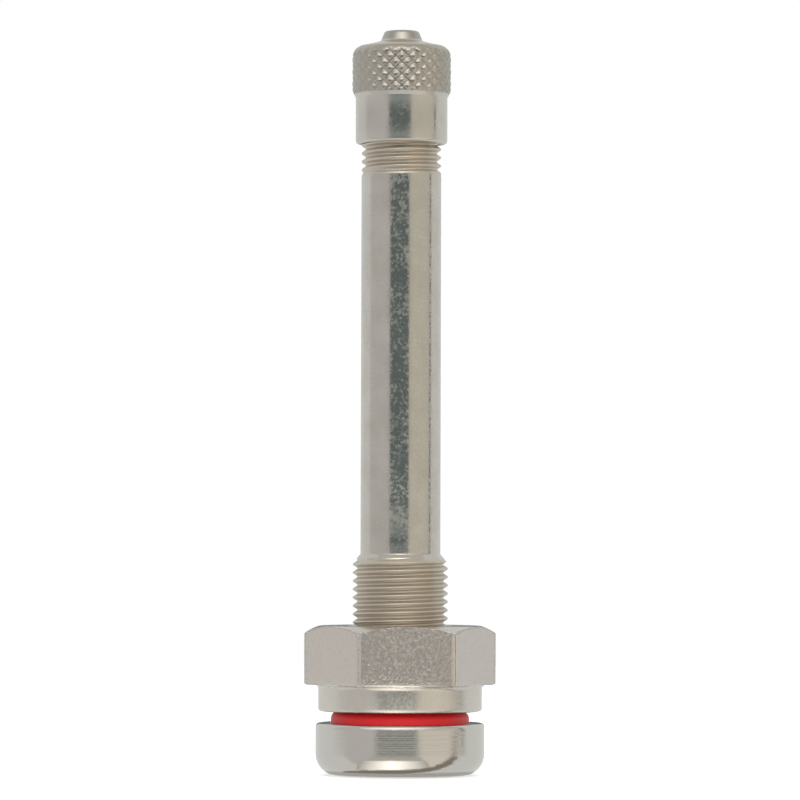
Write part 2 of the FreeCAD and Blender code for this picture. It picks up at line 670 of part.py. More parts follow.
def main():
    doc = FreeCAD.newDocument("tyre_valve")
    sheet_of_sizes(doc)
    pieces = []
    for make in PIECES:
        piece = make(doc)
        piece.Label = make.__name__
        pieces.append(piece)
    doc.recompute()
    check(doc, pieces)
    os.makedirs("parts", exist_ok=True)
    for piece in pieces:
        piece.Shape.exportStep(f"parts/{piece.Label}.step")
        box = piece.Shape.BoundBox
        print(f"{piece.Label}: {piece.Shape.Volume:.2f} mm3, z {box.ZMin:.2f} to {box.ZMax:.2f}")


main()
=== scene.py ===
# %% [markdown]
# A straight metal tyre valve stands on its foot: stem, red seal ring, clamp nut and knurled cap.
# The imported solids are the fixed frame. They carry the sizes and the motion, and each of them is
# replaced here by a finer piece of the same size, with real threads, a knurl and rounded edges.

# %% Load the frame
import json
import math

import bmesh
import bpy
import numpy as np
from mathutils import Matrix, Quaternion, Vector

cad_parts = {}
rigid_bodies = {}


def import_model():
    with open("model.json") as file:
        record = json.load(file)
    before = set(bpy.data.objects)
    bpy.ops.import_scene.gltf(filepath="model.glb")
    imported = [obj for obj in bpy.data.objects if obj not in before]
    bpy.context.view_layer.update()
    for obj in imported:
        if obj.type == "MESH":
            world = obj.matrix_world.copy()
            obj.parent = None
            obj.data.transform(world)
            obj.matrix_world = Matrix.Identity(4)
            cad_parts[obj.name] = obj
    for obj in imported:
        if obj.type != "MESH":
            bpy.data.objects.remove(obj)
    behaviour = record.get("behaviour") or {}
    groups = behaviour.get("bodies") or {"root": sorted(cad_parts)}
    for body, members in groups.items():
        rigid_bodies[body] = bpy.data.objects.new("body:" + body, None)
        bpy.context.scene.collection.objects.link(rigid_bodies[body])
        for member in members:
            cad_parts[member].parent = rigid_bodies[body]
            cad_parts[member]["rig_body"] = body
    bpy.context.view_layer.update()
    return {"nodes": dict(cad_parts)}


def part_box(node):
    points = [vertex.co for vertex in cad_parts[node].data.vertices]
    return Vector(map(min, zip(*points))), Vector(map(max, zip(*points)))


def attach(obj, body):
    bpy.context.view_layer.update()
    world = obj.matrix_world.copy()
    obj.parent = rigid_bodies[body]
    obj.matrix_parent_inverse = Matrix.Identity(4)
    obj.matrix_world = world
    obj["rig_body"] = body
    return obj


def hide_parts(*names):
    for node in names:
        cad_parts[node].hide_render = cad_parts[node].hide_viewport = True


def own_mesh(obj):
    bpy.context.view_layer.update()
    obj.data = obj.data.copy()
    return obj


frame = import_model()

MM = 0.001
print("nodes:", ", ".join(sorted(frame["nodes"])))


# %% [markdown]
# Materials and modifiers are both node trees, so one small pair of classes builds them all.
# A Wire is an output socket that takes part in Python arithmetic, and Tree.node adds any other node.
# Written this way a groove or a grain reads like the formula that it is.

# %% Wires and trees
class Wire:
    """An output socket. Sums and products with it add Math nodes."""

    def __init__(self, tree, socket):
        self.tree = tree
        self.socket = socket

    def math(self, operation, *others):
        return self.tree.math(operation, self, *others)

    def out(self, name):
        """Another output of the same node."""
        return Wire(self.tree, self.socket.node.outputs[name])

    def __add__(self, other):
        return self.math("ADD", other)

    def __sub__(self, other):
        return self.math("SUBTRACT", other)

    def __rsub__(self, other):
        return self.tree.math("SUBTRACT", other, self)

    def __mul__(self, other):
        return self.math("MULTIPLY", other)

    def __truediv__(self, other):
        return self.math("DIVIDE", other)

    def __rtruediv__(self, other):
        return self.tree.math("DIVIDE", other, self)

    def clamped(self):
        """The value kept between 0 and 1."""
        return self.math("MAXIMUM", 0).math("MINIMUM", 1)

    __radd__ = __add__
    __rmul__ = __mul__


class Tree:
    """A node tree under construction, of a material, the world or a modifier."""

    def __init__(self, data):
        self.data = data

    def node(self, kind, settings=None, inputs=None, output=0):
        """Add a node: its settings first, then values or wires for its sockets. Returns one output."""
        made = self.data.nodes.new(kind)
        for name, setting in (settings or {}).items():
            if name == "stops":
                set_stops(made.color_ramp, setting)
            else:
                setattr(made, name, setting)
        for name, given in (inputs or {}).items():
            if isinstance(given, Wire):
                self.data.links.new(given.socket, made.inputs[name])
            else:
                made.inputs[name].default_value = given
        return Wire(self, made.outputs[output]) if made.outputs else None

    def math(self, operation, *values):
        return self.node("ShaderNodeMath", {"operation": operation}, dict(enumerate(values)))

    def apart(self, place):
        """The three coordinates of a place."""
        split = self.node("ShaderNodeSeparateXYZ", inputs={0: place})
        return split, split.out("Y"), split.out("Z")


def set_stops(ramp, stops):
    """Give a colour ramp its stops, each a position and a grey."""
    while len(ramp.elements) > 1:
        ramp.elements.remove(ramp.elements[-1])
    ramp.elements[0].position = stops[0][0]
    for position, grey in stops[1:]:
        ramp.elements.new(position)
    for element, (position, grey) in zip(ramp.elements, stops):
        element.color = (grey, grey, grey, 1)


# %% [markdown]
# Almost every piece here came off a lathe, so its surface is an outline turned about the stem's axis.
# An outline is a list of corners in millimetres: radius, height and, where the edge is rounded, a radius.
# Close rings beside each corner keep the long faces true, so that their reflections stay straight.

# %% Turned surfaces
ARC_STEP = math.radians(11)
HOLD = 0.12


def in_scene(name, data):
    """A new object, linked to the scene."""
    made = bpy.data.objects.new(name, data)
    bpy.context.scene.collection.objects.link(made)
    return made


def softened(corners, closed):
    """The outline's points, with an arc at each corner that has a radius."""
    points = []
    for i, corner in enumerate(corners):
        here = np.array(corner[:2], float)
        if len(corner) == 2:
            points.append(here)
            continue
        before = np.array(corners[i - 1][:2], float) - here
        after = np.array(corners[(i + 1) % len(corners)][:2], float) - here
        points += arc_at(here, before, after, corner[2])
    return held(points, closed)


def arc_at(here, before, after, radius):
    """Points of the arc that rounds a corner, from the edge before it to the edge after it."""
    before = before / np.linalg.norm(before)
    after = after / np.linalg.norm(after)
    half = math.acos(np.clip(before @ after, -1, 1)) / 2
    middle = (before + after) / np.linalg.norm(before + after)
    centre = here + middle * radius / math.sin(half)
    turn = math.pi - 2 * half
    steps = max(2, math.ceil(turn / ARC_STEP))
    along = (after - before) / np.linalg.norm(after - before)
    angles = np.linspace(-turn / 2, turn / 2, steps + 1)
    return [centre + radius * (along * math.sin(a) - middle * math.cos(a)) for a in angles]


def held(points, closed):
    """The outline with an extra point just inside both ends of every long stretch."""
    result = []
    last = len(points) if closed else len(points) - 1
    for i in range(last):
        start = points[i]
        step = points[(i + 1) % len(points)] - start
        length = np.linalg.norm(step)
        result.append(start)
        if length > 3 * HOLD:
            result.append(start + step * HOLD / length)
            result.append(start + step * (1 - HOLD / length))
    if not closed:
        result.append(points[-1])
    return result


def turned(name, outlines, columns, first_angle=0.0, closed=False):
    """A mesh object: rings of `columns` points for each point of each outline, in metres."""
    angles = first_angle + np.arange(columns) * math.tau / columns
    circle = np.column_stack([np.cos(angles), np.sin(angles)])
    rows = []
    faces = []
    for corners in outlines:
        points = softened(corners, closed)
        base = len(rows)
        for radius, height in points:
            rows.append(np.column_stack([circle * radius, np.full(columns, height)]) * MM)
        for row in range(len(points) if closed else len(points) - 1):
            low = (base + row) * columns
            high = (base + (row + 1) % len(points)) * columns
            for i in range(columns):
                j = (i + 1) % columns
                faces.append((low + i, low + j, high + j, high + i))
    mesh = bpy.data.meshes.new(name)
    mesh.from_pydata(np.concatenate(rows).tolist(), [], faces)
    return in_scene(name, mesh)


# %% [markdown]
# Modifiers do the cutting. Each tree below has named inputs, in metres, and ends in real mesh with its
# material. Once evaluated the result is kept as plain mesh: doubles merged, faces outwards, shaded smooth.

# %% Geometry Nodes helpers
MERGE = 0.002 * MM


def cutting_tree(name, sizes):
    """An empty modifier tree with a geometry, a material and named sizes as inputs."""
    data = bpy.data.node_groups.new(name, "GeometryNodeTree")
    kinds = {"Geometry": "NodeSocketGeometry", "Material": "NodeSocketMaterial"}
    for label in [*kinds, *sizes]:
        whole = isinstance(sizes.get(label), int)
        kind = kinds.get(label, "NodeSocketInt" if whole else "NodeSocketFloat")
        socket = data.interface.new_socket(label, in_out="INPUT", socket_type=kind)
        if label in sizes:
            socket.default_value = sizes[label]
    data.interface.new_socket("Geometry", in_out="OUTPUT", socket_type="NodeSocketGeometry")
    tree = Tree(data)
    group = tree.node("NodeGroupInput")
    return tree, {label: group.out(label) for label in [*kinds, *sizes]}


def close_tree(tree, geometry, material):
    """Join what overlaps, make instances real and give the material."""
    real = tree.node("GeometryNodeRealizeInstances", inputs={"Geometry": geometry})
    merged = tree.node("GeometryNodeMergeByDistance", inputs={"Geometry": real, "Distance": MERGE})
    dressed = tree.node("GeometryNodeSetMaterial", inputs={"Geometry": merged, "Material": material})
    tree.node("NodeGroupOutput", inputs={0: dressed})
    return tree.data


def cut(piece, data, material, **sizes):
    """Put a cutting tree on a piece. Sizes are named as the inputs are, in small letters."""
    modifier = piece.modifiers.new(data.name, "NODES")
    modifier.node_group = data
    for item in data.interface.items_tree:
        word = item.name.lower().replace(" ", "_")
        if item.in_out == "INPUT" and word in sizes:
            modifier[item.identifier] = sizes[word]
        if item.name == "Material":
            modifier[item.identifier] = material
    return piece


def made_plain(piece, material):
    """Keep the evaluated mesh, closed and facing outwards, and drop the modifiers."""
    graph = bpy.context.evaluated_depsgraph_get()
    mesh = bpy.data.meshes.new_from_object(piece.evaluated_get(graph))
    piece.modifiers.clear()
    piece.data = mesh
    work = bmesh.new()
    work.from_mesh(mesh)
    bmesh.ops.remove_doubles(work, verts=work.verts, dist=MERGE)
    bmesh.ops.dissolve_degenerate(work, edges=work.edges, dist=MERGE / 10)
    bmesh.ops.recalc_face_normals(work, faces=work.faces)
    open_edges = sum(1 for edge in work.edges if not edge.is_manifold)
    work.to_mesh(mesh)
    triangles = sum(len(face.verts) - 2 for face in work.faces)
    work.free()
    mesh.shade_smooth()
    mesh.materials.clear()
    mesh.materials.append(material)
    print(f"{piece.name}: {triangles} triangles, {open_edges} open edges")
    return piece


def stands_for(piece, node):
    """The piece takes the place of its CAD node, on the same body."""
    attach(piece, frame["nodes"][node]["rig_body"])
    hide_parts(node)
    return piece


# %% [markdown]
# The valve has right-hand screw threads: a coarse one under the nut, one for the cap and one in the mouth.
# A thread is a groove whose depth repeats every pitch and climbs one pitch in a turn.
# The tree winds its own grid along the helix, so crest and root lie exactly on mesh lines.
# Heights outside the threaded length fall on its end rings, where the merge closes the surface.

# %% Screw thread tree
FLAT = 1 / 6


def screw_thread():
    """Wind a threaded surface between two rings. A negative depth makes it an inside thread."""
    tree, size = cutting_tree("Screw thread", {
        "Crest": 4.56 * MM,
        "Depth": 0.4 * MM,
        "Pitch": 0.794 * MM,
        "Crest Height": 0.0,
        "Start": 0.0,
        "End": 10 * MM,
        "Start Radius": 1.0,
        "Start Slope": 1.0,
        "End Radius": 1.0,
        "End Slope": 1.0,
        "Start Fade": 0.01 * MM,
        "End Fade": 0.01 * MM,
        "First Angle": 0.0,
        "Columns": 96,
        "Rows": 12,
    })
    pitch = size["Pitch"]
    turns = ((size["End"] - size["Start"]) / pitch).math("CEIL") + 3
    first = ((size["Start"] - size["Crest Height"]) / pitch).math("FLOOR") - 1
    grid = tree.node("GeometryNodeMeshGrid", inputs={
        "Size X": 1.0,
        "Size Y": 1.0,
        "Vertices X": size["Columns"] + 1,
        "Vertices Y": turns * size["Rows"] + 1,
    })
    across, up, _ = tree.apart(tree.node("GeometryNodeInputPosition"))
    around = across + 0.5
    climbed = first + (up + 0.5) * turns + around
    height = (climbed * pitch + size["Crest Height"]).math("MAXIMUM", size["Start"])
    height = height.math("MINIMUM", size["End"])
    phase = ((height - size["Crest Height"]) / pitch - around).math("FRACT")
    groove = 1 - (phase * 2 - 1).math("ABSOLUTE")
    groove = ((groove - FLAT) / (1 - 2 * FLAT)).clamped()
    from_start = ((height - size["Start"]) / size["Start Fade"]).math("MINIMUM", 1)
    from_end = ((size["End"] - height) / size["End Fade"]).math("MINIMUM", 1)
    radius = size["Crest"] - size["Depth"] * groove * from_start * from_end
    lower = size["Start Radius"] + (height - size["Start"]) * size["Start Slope"]
    upper = size["End Radius"] + (size["End"] - height) * size["End Slope"]
    radius = radius.math("MINIMUM", lower).math("MINIMUM", upper)
    angle = around * math.tau + size["First Angle"]
    moved = on_cylinder(tree, grid, radius, angle, height)
    joined = tree.node("GeometryNodeJoinGeometry")
    tree.data.links.new(moved.socket, joined.socket.node.inputs[0])
    tree.data.links.new(size["Geometry"].socket, joined.socket.node.inputs[0])
    return close_tree(tree, joined, size["Material"])


def on_cylinder(tree, geometry, radius, angle, height):
    """Move every point to a radius, an angle and a height about the stem's axis."""
    spot = tree.node("ShaderNodeCombineXYZ", inputs={
        "X": radius * angle.math("COSINE"),
        "Y": radius * angle.math("SINE"),
        "Z": height,
    })
    return tree.node("GeometryNodeSetPosition", inputs={"Geometry": geometry, "Position": spot})


SCREW_THREAD = screw_thread()
print(SCREW_THREAD.name, "tree:", len(SCREW_THREAD.nodes), "nodes")


# %% [markdown]
# The cap's head is gripped by a rolled diamond knurl: two families of V grooves that cross.
# Where they cross is a valley, and what stays between is a small pyramid with a worn tip.
# The grid's rows are sheared by half a step each, so both families of grooves lie on mesh lines.

# %% Diamond knurl tree
STEPS = 6


def diamond_knurl():
    """Wind a knurled band between two rings, under a lower chamfer and a round crown edge."""
    tree, size = cutting_tree("Diamond knurl", {
        "Crest": 4.74 * MM,
        "Depth": 0.22 * MM,
        "Pitch": 1.154 * MM,
        "Start": 65.25 * MM,
        "Start Radius": 4.5 * MM,
        "Start Slope": 0.5,
        "Crown Radius": 1.1 * MM,
        "Crown Centre": 69.14 * MM,
        "Tip": 0.4,
        "First Angle": 0.0,
        "Diamonds": 24,
        "Rows": 48,
    })
    grid = tree.node("GeometryNodeMeshGrid", inputs={
        "Size X": 1.0,
        "Size Y": 1.0,
        "Vertices X": size["Diamonds"] * STEPS + 1,
        "Vertices Y": size["Rows"] + 1,
    })
    across, up, _ = tree.apart(tree.node("GeometryNodeInputPosition"))
    column = (across + 0.5) * size["Diamonds"]
    climb = (up + 0.5) * size["Rows"] / (2 * STEPS)
    height = size["Start"] + climb * size["Pitch"]
    rising = ((column + climb * 2).math("FRACT") - 0.5).math("ABSOLUTE")
    falling = (column.math("FRACT") - 0.5).math("ABSOLUTE")
    raised = (rising.math("MINIMUM", falling) / size["Tip"]).math("MINIMUM", 1)
    knurl = size["Crest"] - size["Depth"] * (1 - raised)
    lower = size["Start Radius"] + (height - size["Start"]) * size["Start Slope"]
    over = (height - size["Crown Centre"]).math("MAXIMUM", 0)
    reach = (size["Crown Radius"] * size["Crown Radius"] - over * over).math("SQRT")
    crown = size["Crest"] - size["Crown Radius"] + reach
    radius = knurl.math("MINIMUM", lower).math("MINIMUM", crown)
    angle = (column + climb) * math.tau / size["Diamonds"] + size["First Angle"]
    moved = on_cylinder(tree, grid, radius, angle, height)
    split_faces = tree.node("GeometryNodeTriangulate", {"quad_method": "SHORTEST_DIAGONAL"}, {0: moved})
    joined = tree.node("GeometryNodeJoinGeometry")
    tree.data.links.new(split_faces.socket, joined.socket.node.inputs[0])
    tree.data.links.new(size["Geometry"].socket, joined.socket.node.inputs[0])
    return close_tree(tree, joined, size["Material"])


DIAMOND_KNURL = diamond_knurl()
print(DIAMOND_KNURL.name, "tree:", len(DIAMOND_KNURL.nodes), "nodes")


# %% [markdown]
# The nut was turned from hexagon bar, so it is a lathe blank that six flat planes limit.
# The tree pulls each point of the blank in to the nearest flat. A soft minimum rounds the edges a
# little, as tumbling and plating do. It also marks which faces are milled and which edges are worn,
# as two attributes on the mesh that the finish reads. The finish makes the worn edges brighter with a
# lighter tint, a painted highlight.

# %% Milled hexagon tree
def milled_hexagon():
    """Limit a turned blank by six flats."""
    tree, size = cutting_tree("Milled hexagon", {
        "Across Flats": 16 * MM,
        "Turn": 0.0,
        "Edge": 0.15 * MM,
        "Worn": 0.16 * MM,
        "Foot": 0.0,
    })
    x, y, height = tree.apart(tree.node("GeometryNodeInputPosition"))
    blank = (x * x + y * y).math("SQRT")
    sector = math.tau / 6
    angle = y.math("ARCTAN2", x)
    off = (((angle - size["Turn"]) / sector).math("FRACT") - 0.5).math("ABSOLUTE") * sector
    near = size["Across Flats"] / 2 / off.math("COSINE")
    far = size["Across Flats"] / 2 / (sector - off).math("COSINE")
    flats = tree.math("SMOOTH_MIN", near, far, size["Edge"])
    radius = tree.math("SMOOTH_MIN", blank, flats, size["Edge"])
    milled = ((blank - flats) / size["Worn"] + 0.5).clamped()
    milled = milled * (height.math("GREATER_THAN", size["Foot"] - size["Worn"]))
    rims = 1 - ((blank - flats) / size["Worn"]).math("ABSOLUTE")
    corners = 1 - (far - near) / (2 * size["Worn"])
    lowest = 1 - ((height - size["Foot"]) / size["Worn"]).math("ABSOLUTE")
    worn = rims.math("MAXIMUM", corners).math("MAXIMUM", lowest).clamped() * milled.math("GREATER_THAN", 0)
    marked = store(tree, size["Geometry"], "milled", milled)
    marked = store(tree, marked, "worn", worn)
    moved = on_cylinder(tree, marked, radius, angle, height)
    return close_tree(tree, moved, size["Material"])


def store(tree, geometry, name, value):
    """Keep a value on every point, under a name that a material can read."""
    return tree.node("GeometryNodeStoreNamedAttribute", {"data_type": "FLOAT", "domain": "POINT"}, {
        "Geometry": geometry,
        "Name": name,
        "Value": value,
    })


MILLED_HEXAGON = milled_hexagon()
print(MILLED_HEXAGON.name, "tree:", len(MILLED_HEXAGON.nodes), "nodes")


# %% [markdown]
# The core's spring is a round wire on a helix. A Screw modifier could make it too, but in a curve tree its
# sizes have names: a spiral is the path, a circle the wire's section, and the sweep closes both ends.

# %% Coil spring tree
def coil_spring():
    """Sweep a round wire along a helix that stands on the start height."""
    tree, size = cutting_tree("Coil spring", {
        "Radius": 0.83 * MM,
        "Wire": 0.3 * MM,
        "Start": 0.0,
        "Height": 5 * MM,
        "Turns": 6.0,
    })
    helix = tree.node("GeometryNodeCurveSpiral", inputs={
        "Resolution": 40,
        "Rotations": size["Turns"],
        "Start Radius": size["Radius"],
        "End Radius": size["Radius"],
        "Height": size["Height"],
    })
    lift = tree.node("ShaderNodeCombineXYZ", inputs={"Z": size["Start"]})
    raised = tree.node("GeometryNodeSetPosition", inputs={"Geometry": helix, "Offset": lift})
    section = tree.node("GeometryNodeCurvePrimitiveCircle", inputs={
        "Resolution": 12,
        "Radius": size["Wire"] / 2,
    })
    wire = tree.node("GeometryNodeCurveToMesh", inputs={
        "Curve": raised,
        "Profile Curve": section,
        "Fill Caps": True,
    })
    return close_tree(tree, wire, size["Material"])


COIL_SPRING = coil_spring()
print(COIL_SPRING.name, "tree:", len(COIL_SPRING.nodes), "nodes")


# %% [markdown]
# Sizes come from the frame where a solid's box gives them. The rest are the valve's own sizes, in
# millimetres, which a thread standard, a spanner or the source of the solids fixes.

# %% Sizes
def box_mm(node):
    """A solid's radius and its lowest and highest height, in millimetres."""
    low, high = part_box(node)
    return high.x / MM, low.z / MM, high.z / MM


FOOT_RADIUS, GROUND, MOUTH = box_mm("valve_stem")
RING_RADIUS, GROOVE_FLOOR, NUT_BASE = box_mm("rim_seal_ring")
NUT_TOP = box_mm("clamp_nut")[2]
HEAD_RADIUS, CAP_RIM, BOSS_TOP = box_mm("valve_cap")
GASKET_RADIUS, GASKET_FOOT, CAP_CEILING = box_mm("cap_gasket")
COARSE_PITCH = 0.794
CORE_PITCH = 0.7056
FOOT_TOP = 5.05
HEX_BASE = NUT_BASE + 2.54
NUT_THREAD_RADIUS = 4.56
NUT_THREAD_DEPTH = 0.42
NUT_THREAD_TOP = 20.3
NUT_THREAD_CREST = 19.82
SHANK_RADIUS = 3.825
SHANK_FOOT = 21.2
CAP_THREAD_RADIUS = 3.81
CAP_THREAD_DEPTH = 0.38
CAP_THREAD_FOOT = 57.6
CAP_THREAD_CREST = 60.1
HEAD_FOOT = CAP_RIM + 4.45
CROWN_TOP = BOSS_TOP - 1.0
print("mouth at", round(MOUTH, 2), "mm, nut from", round(NUT_BASE, 2), "to", round(NUT_TOP, 2))


# %% [markdown]
# A finish is a shader tree that reads the place on the piece. Grain, clouds and pits are noise, and fine
# relief is a bump. A lathe's rings are noise read by radius and height only, so they run true everywhere.
# A zone with a finish of its own, such as a thread, is a mask: a stretch of height or a mark on the mesh.

# %% Shader helpers
def shader(name):
    """A new material: its tree, and a wire with the place on the piece in metres."""
    material = bpy.data.materials.new(name)
    material.use_nodes = True
    material.node_tree.nodes.clear()
    tree = Tree(material.node_tree)
    return material, tree, tree.node("ShaderNodeTexCoord").out("Object")


def noise(tree, place, size, detail=3.0, roughness=0.6):
    """Noise from 0 to 1 whose grains are about `size` metres across."""
    return tree.node("ShaderNodeTexNoise", inputs={
        "Vector": place,
        "Scale": 1 / size,
        "Detail": detail,
        "Roughness": roughness,
    })


def ramp(tree, wire, *stops):
    """A number sent through a ramp of greys."""
    return tree.node("ShaderNodeValToRGB", {"stops": stops}, {0: wire})


def mixed(tree, share, first, second):
    """Two colours mixed by a share from 0 to 1."""
    return tree.node("ShaderNodeMix", {"data_type": "RGBA"}, {0: share, 6: first, 7: second}, output=2)


def turning_rings(tree, place, size):
    """Fine rings about the stem's axis, as a lathe tool leaves them."""
    x, y, height = tree.apart(place)
    radius = (x * x + y * y).math("SQRT")
    spot = tree.node("ShaderNodeCombineXYZ", inputs={"X": radius, "Z": height})
    return noise(tree, spot, size, detail=2.0)


def band(low, high, soft=0.12):
    """A mask for a stretch of height, in millimetres."""
    def mask(tree, place):
        height = tree.apart(place)[2] / MM
        return ((height - low) / soft).clamped() * ((high - height) / soft).clamped()
    return mask


def marked(name):
    """A mask that the mesh carries under this name."""
    def mask(tree, place):
        return tree.node("ShaderNodeAttribute", {"attribute_name": name}).out("Fac")
    return mask


def surface(tree, relief, colour, metallic, roughness):
    """The principled shader over a relief in millimetres, and the material's output."""
    bump = tree.node("ShaderNodeBump", inputs={"Height": relief, "Distance": MM})
    finish = tree.node("ShaderNodeBsdfPrincipled", inputs={
        "Base Color": colour,
        "Metallic": metallic,
        "Roughness": roughness,
        "Normal": bump,
    })
    tree.node("ShaderNodeOutputMaterial", inputs={0: finish})


# %% [markdown]
# Nickel plating is a warm, slightly yellow grey mirror. Over turned brass it keeps the tool's fine rings,
# and handling leaves small dull pits that break up long reflections. One recipe serves all the metals.

# %% Metal recipe
CLOUD_SIZE = 2.5 * MM
BLOTCH_SIZE = 1.6 * MM
PIT_SIZE = 0.3 * MM
RING_SIZE = 0.12 * MM
SPECK_SIZE = 0.25 * MM


def metal(name, colour, shade, rough, pitted, grain, skin, rings, specks=0.0, eased=0.0, zones=()):
    """A metal in two tints, with dull pits. Skin, rings and specks are heights of relief in millimetres.

    Eased is how far the marked edges are worn down. A zone is a mask, then the roughness, the tint and
    the share of the relief that it has instead.
    """
    material, tree, place = shader(name)
    clouds = noise(tree, place, CLOUD_SIZE)
    blotches = (noise(tree, place, BLOTCH_SIZE) - 0.5) * 0.5
    pits = ramp(tree, noise(tree, place, PIT_SIZE, detail=5.0) + blotches, (0.44, 0.0), (0.66, 1.0))
    fine = noise(tree, place, grain * MM, detail=4.0)
    turning = turning_rings(tree, place, RING_SIZE)
    tint = mixed(tree, ((clouds - 0.3) * 2.5).clamped(), colour, shade)
    gloss = rough + pits * pitted + (clouds - 0.5) * 0.1
    relief = fine * skin + turning * rings
    if specks:
        sparse = ramp(tree, noise(tree, place, SPECK_SIZE, detail=1.0), (0.55, 0.0), (0.70, 1.0))
        relief = relief + sparse * specks
    for mask, zone_rough, zone_tint, zone_relief in zones:
        share = mask(tree, place)
        tint = mixed(tree, share, tint, zone_tint)
        gloss = gloss + (zone_rough - gloss) * share
        relief = relief * (1 + (zone_relief - 1) * share)
    if eased:
        relief = relief - marked("worn")(tree, place) * eased
    surface(tree, relief, tint, 1.0, gloss)
    return material


# %% [markdown]
# The stem, the cap and the nut are nickel plated and differ in wear. Threads, knurl and milled flats are
# rougher. Worn edges are brighter, by a lighter tint that paints their highlight. The core is bare brass
# with a steel spring.

# %% Metals
BRIGHT = (0.64, 0.61, 0.555, 1)
DULLED = (0.57, 0.54, 0.485, 1)
THREADED = (0.63, 0.57, 0.49, 1)
FOOT_TINT = (0.65, 0.62, 0.575, 1)
KNURL_TINT = (0.50, 0.465, 0.41, 1)
CROWN_TINT = (0.64, 0.605, 0.545, 1)
BOSS_TINT = (0.47, 0.45, 0.405, 1)
MILLED_TINT = (0.64, 0.58, 0.53, 1)
# Lighter tint of the nut's worn edges, a painted highlight
WORN_EDGE_HIGHLIGHT_TINT = (0.80, 0.76, 0.71, 1)
SATIN = (0.70, 0.66, 0.60, 1)
SATIN_DULLED = (0.65, 0.61, 0.55, 1)
NICKEL = metal(
    "bright_nickel", BRIGHT, DULLED, rough=0.14, pitted=0.22, grain=0.3, skin=0.0016, rings=0.002, zones=[
        (band(NUT_BASE, NUT_THREAD_TOP + 0.4), 0.36, THREADED, 4.0),
        (band(CAP_THREAD_FOOT - 0.1, MOUTH), 0.36, THREADED, 4.0),
        (band(GROUND - 1, FOOT_TOP + 0.2), 0.15, FOOT_TINT, 6.0),
    ],
)
CAP_NICKEL = metal(
    "cap_nickel", BRIGHT, DULLED, rough=0.15, pitted=0.14, grain=0.25, skin=0.0016, rings=0.0006, zones=[
        (band(HEAD_FOOT - 1.7, HEAD_FOOT + 1.5, soft=1.3), 0.30, BRIGHT, 1.0),
        (band(CAP_RIM - 1.2, CAP_RIM + 1.7, soft=1.1), 0.30, BRIGHT, 1.0),
        (band(HEAD_FOOT + 0.3, CROWN_TOP - 0.5), 0.27, KNURL_TINT, 24.0),
        (band(CROWN_TOP - 0.5, CROWN_TOP + 0.2), 0.3, CROWN_TINT, 3.0),
        (band(CROWN_TOP + 0.1, BOSS_TOP + 1), 0.28, BOSS_TINT, 3.0),
    ],
)
NUT_NICKEL = metal(
    "satin_nickel", SATIN, SATIN_DULLED,
    rough=0.24, pitted=0.1, grain=0.42, skin=0.003, rings=0.0006, specks=0.0006, eased=0.11, zones=[
        (marked("milled"), 0.24, MILLED_TINT, 26.0),
        # Worn edges: real wear, and a lighter tint that paints their bright highlight lines
        (marked("worn"), 0.22, WORN_EDGE_HIGHLIGHT_TINT, 1.0),
    ],
)
BRASS = metal(
    "bare_brass", (0.80, 0.60, 0.30, 1), (0.66, 0.47, 0.22, 1),
    rough=0.22, pitted=0.12, grain=0.2, skin=0.001, rings=0.0012,
)
STEEL = metal(
    "coil_steel", (0.56, 0.56, 0.55, 1), (0.44, 0.44, 0.44, 1),
    rough=0.28, pitted=0.1, grain=0.1, skin=0.001, rings=0.0,
)
print("metals:", NICKEL.name, CAP_NICKEL.name, NUT_NICKEL.name, BRASS.name, STEEL.name)


# %% [markdown]
# The seals are moulded rubber: an even colour, a soft gloss, and the faint orange-peel of the mould.

# %% Rubber finishes
RUBBER_CLOUD = 1.5 * MM
RUBBER_GRAIN = 0.2 * MM
RUBBER_RELIEF = 0.004


def rubber(name, colour, shade, rough):
    """Moulded rubber with slight clouding and a fine skin."""
    material, tree, place = shader(name)
    clouds = noise(tree, place, RUBBER_CLOUD)
    skin = noise(tree, place, RUBBER_GRAIN, detail=4.0)
    tint = mixed(tree, clouds, colour, shade)
    surface(tree, skin * RUBBER_RELIEF, tint, 0.0, rough + (skin - 0.5) * 0.2)
    return material


RED_RUBBER = rubber("seal_red", (0.85, 0.010, 0.018, 1), (0.70, 0.006, 0.012, 1), rough=0.45)
BLACK_RUBBER = rubber("seal_black", (0.03, 0.03, 0.03, 1), (0.015, 0.015, 0.015, 1), rough=0.5)
print("rubbers:", RED_RUBBER.name, BLACK_RUBBER.name)


# %% [markdown]
# The stem is one turning. Its foot has a large lower radius, a groove for the red ring and a neck.
# The coarse thread ends on a cone, where its grooves run out, and the shank above is plain.
# Outlines stop where a thread takes over, and each thread's grid closes that stretch.

# %% Stem
STEM_COLUMNS = 96
CORE_WALL = 2.665
CORE_WALL_FOOT = 59.3
BORE = 1.6
CHAMBER = 1.85
CHAMBER_FOOT = 46.4
NECK = 4.405
NECK_TOP = 6.4
THREAD_FOOT = 6.6
THREAD_ROOT = NUT_THREAD_RADIUS - NUT_THREAD_DEPTH
SHANK_TOP = 57.5
MOUTH_EDGE = 3.36
SHOULDER_SLOPE = (NUT_THREAD_RADIUS - SHANK_RADIUS) / (SHANK_FOOT - NUT_THREAD_TOP)


